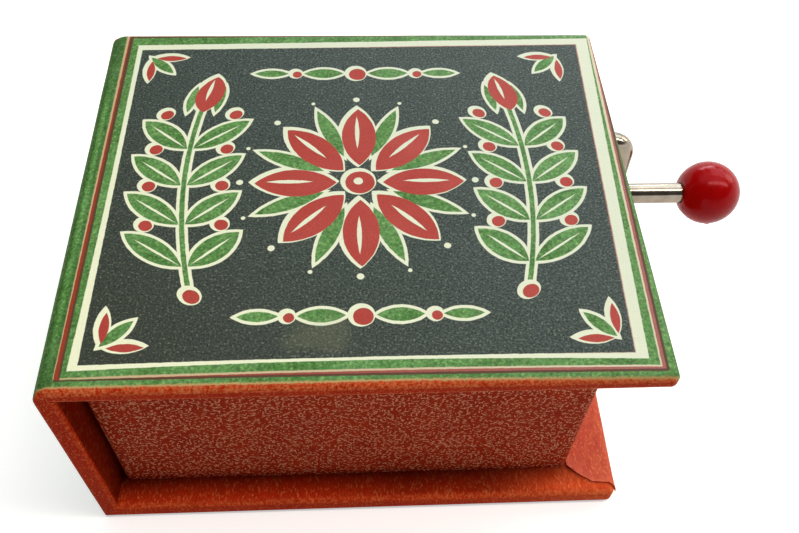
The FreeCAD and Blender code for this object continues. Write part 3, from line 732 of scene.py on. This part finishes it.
def make_pins():
    """Points on a grid of steps and teeth, each with a pin where the tune has a note."""
    drum_low, drum_high = in_mm(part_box("drum_shell"))
    pins_low, pins_high = in_mm(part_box("drum_pins"))
    axis = (drum_low + drum_high) / 2
    drum_radius = (drum_high.z - drum_low.z) / 2
    pin_height = (pins_high.z - pins_low.z) / 2 - drum_radius
    weave = Weave("drum_pins")
    steps = weave.input("Steps", "Int", pin_steps)
    teeth = weave.input("Teeth", "Int", tooth_count)
    pitch = weave.input("Tooth pitch", "Float", tooth_pitch * mm)
    root = weave.input("Root radius", "Float", (drum_radius - pin_root) * mm)
    length = weave.input("Pin length", "Float", (pin_root + pin_height) * mm)
    thick = weave.input("Pin radius", "Float", pin_radius * mm)
    first = weave.input("First track", "Float", pins_low.y * mm + pin_radius * mm)
    middle = weave.input("Drum axis", "Vector", Vector((axis.x, 0, axis.z)) * mm)

    points = steps.node("GeometryNodePoints", {}, {"Count": steps * teeth})
    index = steps.node("GeometryNodeInputIndex", {}, {})
    tooth = (index / steps).math("FLOOR")
    step = index - tooth * steps
    note = (3 * step + 5 * tooth + step * tooth).math("FLOORED_MODULO", 7.0)
    angle = (step + 0.5) * tau / steps
    out_x, out_z = angle.math("COSINE"), angle.math("SINE")
    reach = root + length * 0.5
    place = (out_x * reach).join(first + tooth * pitch, out_z * reach)
    place = angle.node("ShaderNodeVectorMath", {"operation": "ADD"}, {0: place, 1: middle})
    moved = points.node("GeometryNodeSetPosition", {}, {"Geometry": points, "Position": place})
    inputs = {"Vector": out_x.join(0.0, out_z)}
    turned = angle.node("FunctionNodeAlignRotationToVector", {"axis": "Z"}, inputs)
    inputs = {"Vertices": pin_sides, "Radius": thick, "Depth": length}
    pin = angle.node("GeometryNodeMeshCylinder", {}, inputs)
    chosen = note.node("FunctionNodeCompare", {"operation": "LESS_THAN"}, {0: note, 1: 0.5})
    inputs = {"Points": moved, "Selection": chosen, "Instance": pin, "Rotation": turned}
    pins = moved.node("GeometryNodeInstanceOnPoints", {}, inputs)
    return weave.mesh(bpy.data.meshes.new("drum_pins_start"), pins, pin_steel)


pin_steel = make_metal("pin_steel", (0.56, 0.55, 0.53), (0.44, 0.43, 0.41), 0.35, 1.0, 0.1)
place_piece("pins", make_pins(), "drum", pin_steel, ["drum_pins"])


# Crank: one nickel-plated wire, bent twice, with its tail in the bracket and its
# handle end inside the knob.
wire_bend = 2.1
wire_sides = 40
bend_points = 16
# Nickel tones darkened as a painted shade in the wire's reflections.
nickel_shaded_dark, nickel_shaded_light = (0.37, 0.31, 0.24), (0.46, 0.40, 0.32)


def make_wire():
    wire_low, wire_high = in_mm(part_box("crank_wire"))
    shaft, handle = joint_place["crank_spin"], joint_place["knob_spin"]
    xs, ends = (wire_low.x, shaft.x, shaft.x, wire_high.x), (shaft, shaft, handle, handle)
    corners = [Vector((x, end.y, end.z)) * mm for x, end in zip(xs, ends)]
    line = bpy.data.meshes.new("wire_line")
    line.from_pydata(corners, [(0, 1), (1, 2), (2, 3)], [])
    weave = Weave("crank_wire")
    thick = weave.input("Wire radius", "Float", (wire_high.z - shaft.z) * mm)
    bent = weave.input("Bend radius", "Float", wire_bend * mm)
    sides = weave.input("Sides", "Int", wire_sides)
    steps = weave.input("Points in a bend", "Int", bend_points)
    start = Tone(weave.tree, weave.inlet.outputs[0])
    path = start.node("GeometryNodeMeshToCurve", {}, {"Mesh": start})
    inputs = {"Curve": path, "Radius": bent, "Count": steps}
    path = path.node("GeometryNodeFilletCurve", {"mode": "POLY"}, inputs)
    ring = path.node("GeometryNodeCurvePrimitiveCircle", {}, {"Resolution": sides, "Radius": thick})
    inputs = {"Curve": path, "Profile Curve": ring, "Fill Caps": True}
    tube = path.node("GeometryNodeCurveToMesh", {}, inputs)
    return weave.mesh(line, tube, nickel_wire)


def make_nickel_wire():
    """Nickel darkened by a painted shade in its reflections, a little warm, with fine drawing marks and
    dull spots.
    """
    finish = Finish("nickel_wire", roughness=0.14, metallic=1.0)
    clouds = finish.cloud(1.6, 4)
    marks = finish.cloud(0.1, 2, stretch=(0.05, 1, 1))
    finish.set("Roughness", 0.08 + 0.14 * clouds + 0.05 * marks)
    return finish.done(finish.mix(clouds.rise(0.35, 0.65), nickel_shaded_dark, nickel_shaded_light), marks, 0.003)


nickel_wire = make_nickel_wire()
place_piece("crank_rod", make_wire(), "crank", nickel_wire, ["crank_wire"])


# Knob: a moulded red ball that turns on the handle end. It has a flat with a bore at
# the wire, a faint gate mark below, and the slight unevenness of a cheap moulding.
knob_turns = 72
knob_arcs = 40
mouth_radius, mouth_round = 2.25, 0.45
bore_radius = 1.57
cell_radius, cell_start, cell_end = 1.95, 1.8, 3.0
gate_way = Vector((-0.02, -0.80, -0.60)).normalized()
gate_width, gate_height = 0.11, 0.16
knob_unevenness = 0.05
knob_deep, knob_light, knob_scuff = (0.36, 0.001, 0.001), (0.44, 0.002, 0.002), (0.46, 0.02, 0.02)
knob_sheen = (1.0, 0.35, 0.42)


def make_knob():
    centre = joint_place["knob_spin"]
    ball_low, ball_high = in_mm(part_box("knob"))
    radius = (ball_high.z - ball_low.z) / 2
    flat = -sqrt(radius ** 2 - mouth_radius ** 2)
    profile = [
        (cell_end, 0.0), (cell_end, cell_radius), (cell_start, cell_radius), (cell_start, bore_radius),
        (flat + mouth_round, bore_radius), (flat + 0.08, bore_radius + 0.06), (flat, bore_radius + 0.2),
        (flat, mouth_radius - mouth_round),
    ]
    soft = atan2(mouth_radius, flat) - mouth_round / radius
    for step in range(knob_arcs + 1):
        angle = soft * (1 - step / knob_arcs)
        profile.append((radius * cos(angle), radius * sin(angle)))
    mesh = bmesh.new()
    rings = []
    for x, away in profile:
        turns = [tau * turn / knob_turns for turn in range(knob_turns if away > 1e-6 else 1)]
        rings.append([mesh.verts.new((x, away * cos(t), away * sin(t))) for t in turns])
    for a, b in zip(rings, rings[1:]):
        for turn in range(knob_turns):
            after = (turn + 1) % knob_turns
            corners = [a[turn % len(a)], a[after % len(a)], b[after % len(b)], b[turn % len(b)]]
            mesh.faces.new(list(dict.fromkeys(corners)))
    for vertex in mesh.verts:
        if vertex.co.length > radius - 0.01:
            way = vertex.co.normalized()
            mark = max(0.0, 1 - way.angle(gate_way) / gate_width)
            rough = 0.5 + 0.5 * noise.noise(way * 1.6)
            vertex.co += way * (gate_height * mark * mark * (3 - 2 * mark) - knob_unevenness * rough)
        vertex.co += centre
    bmesh.ops.recalc_face_normals(mesh, faces=mesh.faces)
    return mesh


def make_knob_plastic():
    finish = Finish("knob_plastic", roughness=0.2, gloss=0.3)
    finish.set("Specular Tint", knob_sheen)
    clouds = finish.cloud(3.0, 3)
    scuffs = finish.cloud(0.5, 4, stretch=(1, 0.25, 1), turn=(0.6, 0, 0.4))
    colour = finish.mix(clouds, knob_deep, knob_light)
    colour = finish.mix(scuffs.rise(0.66, 0.80) * 0.25, colour, knob_scuff)
    finish.set("Roughness", 0.15 + 0.10 * clouds + 0.10 * scuffs.rise(0.55, 0.8))
    return finish.done(colour, clouds + scuffs * 0.3, 0.06)


knob_plastic = make_knob_plastic()
make_piece("knob_ball", make_knob(), "knob", knob_plastic, ["knob"])


# Spine: the board between base and lid. Its paper is green outside, where the lid's
# margin runs on, and red at both ends and inside.
spine_sheet = in_mm(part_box("spine_lining_paper"))
lid_sheet = in_mm(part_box("lid_lining_paper"))
shoulder = spine_high.x - spine_low.x
spine_round = 0.55
foot_round = 0.5
foot_pull, spine_fold_pull = (1, 0.9), (0.838, 1.193)
green_deep, green_bright = (0.058, 0.188, 0.030), (0.120, 0.300, 0.078)
green_speck = (0.34, 0.52, 0.19)


def spine_section():
    """Section of the spine: down its outer face, up its inner face."""
    left, inner, top = spine_low.x, spine_in, lid_low.z
    lean = (base_high.z - base_fold.z) / (spine_in - base_fold.x)
    points = bend((inner, top), shoulder, 135, 180)
    points += straight((left, top), (left, foot_round), (1, 0), pull_end=foot_pull)
    points += [(Vector((base_fold.x, base_fold.z)), Vector(spine_fold_pull), True)]
    points += straight(
        (inner, base_high.z), (inner, top), (-1, 0), pull_start=(-1, -lean), pull_end=(-1, 1),
        stops=[(inner, spine_sheet[0].z), (inner, spine_sheet[1].z)], bare_end=True,
    )
    return points


def green_ink(finish, clouds, tooth):
    """Leaf green ink, thinner in places."""
    colour = finish.mix(clouds.rise(0.3, 0.7), green_deep, green_bright)
    thin = finish.cloud(0.38, 2, shift=6.0).rise(0.50, 0.70)
    return finish.mix(thin * 0.40, colour, green_speck).times(-0.10 + 2.2 * tooth)


def make_green_paper():
    finish = Finish("green_paper", roughness=0.5, gloss=0.02)
    red, tooth = red_ground(finish)
    green = green_ink(finish, finish.cloud(5.0, 3), finish.cloud(0.24, 3))
    x = finish.x + (finish.cloud(0.6, 2) - 0.5) * 0.2
    from_middle = finish.y.size() + (finish.cloud(0.6, 2, shift=4.0) - 0.5) * 0.2
    outside = x.rise(-35.2, -35.3) * from_middle.rise(29.72, 29.66)
    # Painted shade: the red of the spine's inner face is darkened.
    inner_face_shade = finish.x.rise(-33.62, -33.54) * from_middle.rise(29.5, 29.3)
    colour = finish.mix(outside, red.times(0.97 - 0.54 * inner_face_shade), green)
    return finish.done(colour, tooth, 0.03)


green_paper = make_green_paper()
spine_skin = cover_skin(spine_section(), spine_sheet, spine_round)
dress("spine_board", greyboard)
# The linings are a darker copy of the red paper: a painted shade for the inner faces under the lid.
shaded_lining_red = make_red_paper("shaded_lining_red", level=0.55, painted_tray_shade=0.55)
dress("spine_lining_paper", shaded_lining_red)
make_piece("spine_cover", spine_skin, "spine", green_paper, ["spine_cover_paper"])


# Lid: a thinner board under a printed sheet. The print has a green margin with a
# knocked-out line and a red one slightly out of register, a cream band, and a dark
# field with a plain flower and leaf design. It ends on the front and back edges.
cream, cream_old, cream_clear = (0.80, 0.85, 0.66), (0.74, 0.785, 0.60), (0.94, 0.96, 0.67)
cream_dirt, brown = (0.36, 0.38, 0.24), (0.105, 0.045, 0.022)
line_left, line_right = (0.62, 0.44, 0.24), (0.72, 0.64, 0.45)
line_red_left, line_red_right = (0.33, 0.036, 0.008), (0.40, 0.125, 0.100)
red_ink, red_worn = (0.42, 0.040, 0.026), (0.50, 0.064, 0.046)
field_dark, field_light = (0.013, 0.021, 0.016), (0.075, 0.103, 0.088)
field_clear, field_grain, grain_clear = (0.026, 0.030, 0.015), (0.26, 0.32, 0.27), (0.25, 0.25, 0.15)
field_line, smudge_brown = (0.40, 0.12, 0.10), (0.32, 0.33, 0.16)
edge_worn, edge_rubbed_and_lit, seam_dark = (0.56, 0.36, 0.13), (0.88, 0.28, 0.105), (0.05, 0.012, 0.006)

# The margin, slope and bow of each side of a printed frame: left, right, front, back.
line_outer = ((2.61, 0.0030, 0.0), (0.89, -0.0261, 0.0), (1.70, -0.005, -0.0001), (-0.9, 0.0, 0.0))
line_inner = ((3.12, 0.0035, 0.0), (1.49, -0.0261, 0.0), (2.25, 0.0, -0.0003), (-0.3, 0.0, 0.0))
red_outer = ((2.82, 0.0077, 0.0), (0.55, -0.027, 0.0), (1.40, -0.006, -0.0001), (0.12, -0.008, 0.0))
red_inner = ((3.45, 0.006, 0.0), (1.19, -0.030, 0.0), (1.99, 0.001, -0.0003), (0.82, -0.008, 0.0))
band_frame = ((4.41, 0.0135, -0.0003), (2.12, -0.0445, 0.0), (3.37, 0.0, -0.0006), (2.05, -0.0195, 0.0))
field_frame = ((5.07, 0.007, 0.0), (3.76, -0.0375, 0.0), (3.77, 0.002, -0.00025), (3.28, -0.014, 0.0))

# The design's pointed ovals, each with its centre, half its length and half its width,
# and its round spots, each with its radius.
petal, petal_cut, back_petal = (8.3, 5.3, 2.3), (8.9, 3.0, 0.30), (9.5, 4.7, 1.05)
bud, bud_cut, bud_leaf = (17.0, 3.6, 1.9), (17.6, 2.1, 0.26), (15.8, 2.6, 0.62)
leaf, leaf_rib = (4.7, 4.2, 1.6), (4.2, 3.2, 0.17)
corner_petal, corner_leaf = (2.7, 2.1, 0.55), (2.4, 2.4, 0.75)
border_leaf, border_tip = (4.6, 2.8, 0.95), (12.0, 2.4, 0.7)
eye, eye_cut, berry, stem_foot, border_eye, border_dot = 1.9, 0.6, 0.85, 1.0, 1.2, 0.65
flower_x = flower_y = 0.2
stem_x, stem_bow, stem_half_width = 22.4, 0.007, 0.32
leaf_angle = radians(38)
leaf_spacing = 6.5
border_y = 20.8
outline_width = 0.42
red_shift_x, red_shift_y = 0.22, -0.22


def lid_section():
    """Section of the lid: from the fold over its top to the right, back underneath."""
    right, top, under = lid_high.x, lid_high.z, lid_low.z
    near, over, low = right - edge_round, top - edge_round, under + edge_round
    points = bend((spine_in, under), shoulder, 135, 90)
    points += straight((spine_in, top), (near, top), (0, -1))
    points += bend((near, over), edge_round, 90, 0)
    points += straight((right, over), (right, low), (-1, 0))
    points += bend((near, low), edge_round, 0, -90)
    points += straight(
        (near, under), (spine_in, under), (0, 1), pull_end=(-1, 1),
        stops=[(lid_sheet[1].x, under), (lid_sheet[0].x, under)], bare_end=True,
    )
    return points


def inside(x, y, margins):
    """How far inside a printed frame a place is. The margins start at the cover's edge."""
    left, right, front, back = (
        margin + way * (slope + bow * way) for (margin, slope, bow), way in zip(margins, (y, y, x, x))
    )
    sides = (x - spine_low.x - left).least(lid_high.x - x - right)
    return sides.least(y - lid_low.y - front).least(lid_high.y - y - back)


def within(distance, level=0.0):
    """1 where the distance is less than the level, with a soft edge."""
    return distance.rise(level + 0.035, level - 0.035)


def away(a, b):
    return (a * a + b * b).math("SQRT")


def lens(along, across, centre, half_length, half_width):
    """Distance from a pointed oval."""
    curve = (half_length ** 2 + half_width ** 2) / (2 * half_width)
    return away(along - centre, across.size() + (curve - half_width)) - curve


def petal_places(x, y, turn):
    """Places along and across the nearest of eight spokes."""
    x, y = x - flower_x, y - flower_y
    spoke = y.math("ARCTAN2", x) + turn
    spoke = spoke.math("PINGPONG", pi / 8)
    out = away(x, y)
    return out * spoke.math("COSINE"), out * spoke.math("SINE")


def sprig_places(x, y, start):
    """Places along and across the nearest of the leaves of a mirrored, bowed sprig,
    then the place across its stem and the height at which that leaf starts."""
    up = y - 1.0
    stem = (x - flower_x).size() - stem_x + up * up * stem_bow
    side = stem.size()
    foot = y - side * tan(leaf_angle)
    row = (foot - start + leaf_spacing / 2).math("FLOORED_MODULO", leaf_spacing) - leaf_spacing / 2
    along = side / cos(leaf_angle) + row * sin(leaf_angle)
    return along, row * cos(leaf_angle), stem, foot


def border_places(x, y):
    """Places along and across the mirrored border over and under the flower."""
    return (x - flower_x).size(), (y - flower_y).size() - border_y


def red_shapes(x, y):
    """Distances from the red shapes, and from the thin cuts in them."""
    along, across = petal_places(x, y, 0.0)
    out = away(x - flower_x, y - flower_y)
    beside, row, stem, foot = sprig_places(x, y, -10.25)
    side, end = border_places(x, y)
    corner_x, corner_y = 29.4 - side, 3.6 - end
    shapes = lens(along, across, *petal).least(
        out - eye, (away(beside - 5.9, row) - berry).most((foot + 0.5).size() - 13.0),
        lens(y, stem, *bud), away(stem, y + 17.4) - stem_foot,
        away(side, end) - border_eye, away(side - 8.6, end) - border_dot,
        lens(corner_x, corner_y, *corner_petal), lens(corner_y, corner_x, *corner_petal),
    )
    cuts = lens(along, across, *petal_cut).least(out - eye_cut, lens(y, stem, *bud_cut))
    return shapes, cuts


def green_shapes(x, y):
    """Distances from the green shapes, and from the thin cuts in them."""
    along, across = petal_places(x, y, pi / 8)
    beside, row, stem, foot = sprig_places(x, y, -13.5)
    rows = (foot + 3.75).size() - 13.0
    side, end = border_places(x, y)
    corner, off_corner = (33.0 - side - end) * sqrt(0.5), (25.8 - side + end) * sqrt(0.5)
    shapes = lens(along, across, *back_petal).least(
        lens(beside, row, *leaf).most(rows),
        (stem.size() - stem_half_width).most((y + 1.0).size() - 15.0),
        lens(y, stem.size() - 1.9, *bud_leaf), lens(side, end, *border_leaf),
        lens(side, end, *border_tip), lens(corner, off_corner, *corner_leaf),
    )
    return shapes, lens(beside, row, *leaf_rib).most(rows)


def make_printed_paper():
    finish = Finish("printed_paper", roughness=0.5, gloss=0.03)
    red_paper_colour, paper_tooth = red_ground(finish)
    clouds = finish.cloud(5.0, 3)
    tooth = finish.cloud(0.20, 3)
    grain = finish.cloud(0.25, 2, shift=2.0)
    x = finish.x + (finish.cloud(0.8, 2, shift=3.0) - 0.5) * 0.12
    y = finish.y + (finish.cloud(0.8, 2, shift=9.0) - 0.5) * 0.12

    # The inks. They are clearer towards the front left corner.
    clear = (-finish.x - finish.y).rise(-20.0, 52.0)
    cream_ground = finish.mix(clear, finish.mix(clouds, cream, cream_old), cream_clear)
    dirt = finish.cloud(0.40, 3, shift=33.0).rise(0.71, 0.78)
    cream_ground = finish.mix(dirt * 0.4, cream_ground.times(0.88 + 0.24 * tooth), cream_dirt)
    # Painted shade: the green is darker on the shoulder and on the right rounded edge.
    shoulder_and_edge_shade = 0.30 * finish.x.rise(-33.3, -33.55)
    shoulder_and_edge_shade = shoulder_and_edge_shade + 0.50 * finish.z.rise(35.97, 35.4) * finish.x.rise(34.2, 35.2)
    # Painted highlight: a lighter stripe along the crown of the shoulder.
    crown_highlight = (finish.x + 34.3).size().rise(0.55, 0.12) * finish.y.rise(22.0, 14.0)
    crown_highlight = crown_highlight * finish.y.rise(-28.0, -20.0)
    green = green_ink(finish, clouds, finish.cloud(0.32, 3)).times(1.0 - shoulder_and_edge_shade + 0.60 * crown_highlight)
    red = finish.mix(clouds, red_ink, red_worn).times(0.50 + 1.0 * tooth)
    speck = finish.cloud(0.30, 1.0, shift=21.0).rise(0.58, 0.70)
    dark = finish.layers(
        finish.mix(grain.rise(0.36, 0.66), field_dark, field_light),
        (clear * clear * 0.6, field_clear),
        (speck * 0.45, finish.mix(clear, field_grain, grain_clear)),
    )

    # The margin with its lines, and the band.
    knocked = within(inside(x, y, line_inner)) * within(-inside(x, y, line_outer))
    lined = within(inside(x, y, red_inner)) * within(-inside(x, y, red_outer))
    to_right = finish.x.rise(-30.0, 30.0)
    light_line = finish.mix(to_right, line_left, line_right).times(0.80 + 0.40 * tooth)
    red_line = finish.mix(to_right, line_red_left, line_red_right).times(0.55 + 0.90 * tooth)
    lines = finish.mix(lined, light_line, red_line)
    margin = finish.mix(knocked, finish.mix(lined, green, brown), lines)

    # The field's design, with its outlines, and the field's own red line on the right.
    reds, red_cuts = red_shapes(x, y)
    greens, green_cuts = green_shapes(x, y)
    red_over, _ = red_shapes(x - red_shift_x, y - red_shift_y)
    along, across = petal_places(x, y, 0.0)
    leaf_along, leaf_across = petal_places(x, y, pi / 8)
    dots = (away(along - 15.3, across) - 0.45).least(away(leaf_along - 15.7, leaf_across) - 0.28)
    picture = finish.layers(
        dark, (within(reds.least(greens), outline_width).most(within(dots)), cream_ground),
        (within(greens), green), (within(red_over), red),
        (within(red_cuts.least(green_cuts)), cream_ground),
    )
    field = inside(x, y, field_frame)
    right_side = (finish.x + 0.6 * finish.y).rise(5.0, 25.0)
    seen = within(field.size(), 0.10) * right_side * (0.2 + 0.9 * tooth)
    smudge = away(finish.x + 4.0, (finish.y + 23.5) * 1.6) - 9.0 * finish.cloud(2.5, 3)

    # The edges, where the print ends on the red paper, and its turned-in corners.
    waver = (finish.cloud(0.5, 3, shift=17.0) - 0.5) * 0.30
    edge = (-finish.y).most(finish.y - 0.3) + waver - finish.x.most(5.0) * 0.015
    edge = edge + (tooth - 0.5) * 0.5
    side = finish.z + (finish.cloud(0.6, 2, shift=5.0) - 0.5) * 0.2
    turned = edge.rise(29.20, 29.38).most(side.rise(34.0, 33.9))
    seam = (finish.x + finish.y.size() - 6.0).size().rise(0.09, 0.04) * finish.z.rise(33.9, 33.7)
    # Rounded edges lighter: rubbed wear and painted highlight along the lid's top edges.
    rubbed_and_lit = finish.attribute("edge") * finish.cloud(0.32, 3, shift=8.0).rise(0.44, 0.66)
    colour = finish.layers(
        margin, (within(-inside(x, y, band_frame)), cream_ground), (within(-field), picture),
        (seen, field_line), (smudge.rise(0.5, -3.0) * 0.14, smudge_brown),
        (edge.rise(28.95, 29.15), edge_worn), (side.rise(34.25, 34.1), brown),
        (turned, red_paper_colour), (seam * 0.7, seam_dark),
        (rubbed_and_lit * 0.68 * turned, edge_rubbed_and_lit),
    )
    finish.set("Coat Weight", (0.30 + 0.30 * clouds) * (1.0 - turned) * finish.z.rise(35.6, 35.9))
    finish.set("Coat Roughness", 0.42)
    return finish.done(colour, paper_tooth + grain, 0.02)


printed_paper = make_printed_paper()
lid_skin = cover_skin(lid_section(), lid_sheet, edge_round)
dress("lid_board", greyboard)
dress("lid_lining_paper", shaded_lining_red)
make_piece("lid_cover", lid_skin, "lid", printed_paper, ["lid_cover_paper"])


# Stage: a white table top in a soft studio that is bright above and behind, with two
# cool windows behind the box, a warm ceiling light and a warm side lamp.
floor_size = 4.0
floor_drop = 0.02
floor_white = (0.90, 0.90, 0.90)
floor_glow, floor_glow_seen = 0.1, 0.4
studio_dim, studio_bright = 0.06, 1.15
light_aim = Vector((0, 0, 0.02))
cool, warm, warmer = (0.86, 0.95, 1.0), (1.0, 0.95, 0.88), (1.0, 0.90, 0.78)
lights = {
    # Place, width, height, power and colour.
    "window": ((0.36, 0.44, 0.50), 0.45, 0.4, 1.2, cool),
    "back_window": ((0.12, 0.69, 0.34), 0.42, 0.14, 1.5, cool),
    "ceiling": ((0.30, -0.075, 0.74), 1.0, 0.11, 3.4, warm),
    "side_lamp": ((0.60, 0.25, 0.30), 0.25, 0.25, 0.7, warmer),
}


def background_rays(tree):
    """1 for straight rays, and 1 for rays that show the background in any way."""
    straight_on = Tone(tree).node("ShaderNodeLightPath", {}, {}, "Is Camera Ray")
    seen = straight_on.most(straight_on.other("Is Glossy Ray"))
    return straight_on, seen.most(straight_on.other("Is Transmission Ray"))


def make_table_top():
    finish = Finish("table_top", roughness=0.9, gloss=0.0)
    finish.set("Base Color", floor_white)
    straight_on, seen = background_rays(finish.tree)
    strength = seen * floor_glow + straight_on * floor_glow_seen
    glow = seen.node("ShaderNodeEmission", {}, {"Color": (1, 1, 1), "Strength": strength})
    lit = Tone(finish.tree, finish.surface.outputs[0])
    total = seen.node("ShaderNodeAddShader", {}, {0: lit, 1: glow})
    Tone.feed(finish.tree.nodes["Material Output"].inputs["Surface"], total)
    return finish


mesh = bmesh.new()
bmesh.ops.create_grid(mesh, x_segments=1, y_segments=1, size=floor_size / 2)
floor = add_object("floor", mesh_data("floor", mesh))
floor.location.z = -floor_drop * mm
floor.data.materials.append(make_table_top().material)

world = bpy.data.worlds.new("studio")
bpy.context.scene.world = world
world.use_nodes = True
background = world.node_tree.nodes["Background"]
Tone.feed(background.inputs["Color"], (1, 1, 1))
direction = Tone(world.node_tree).node("ShaderNodeTexCoord", {}, {}, "Generated")
_, to_back, upward = direction.split()
bright = upward.rise(0.66, 0.86) * to_back.rise(-0.10, 0.10)
_, seen = background_rays(world.node_tree)
strength = (studio_dim + studio_bright * bright).most(seen * upward.rise(0.40, 0.25))
Tone.feed(background.inputs["Strength"], strength)

for name, (place, width, height, power, colour) in lights.items():
    light = add_object(name, bpy.data.lights.new(name, "AREA"))
    light.data.shape = "RECTANGLE"
    light.data.size, light.data.size_y = width, height
    light.data.energy, light.data.color = power, colour
    back = (Vector(place) - light_aim).normalized()
    stand(light, place, (Vector((1, 0, 0)) - back * back.x).normalized(), back)

bpy.context.scene.view_settings.view_transform = "Standard"
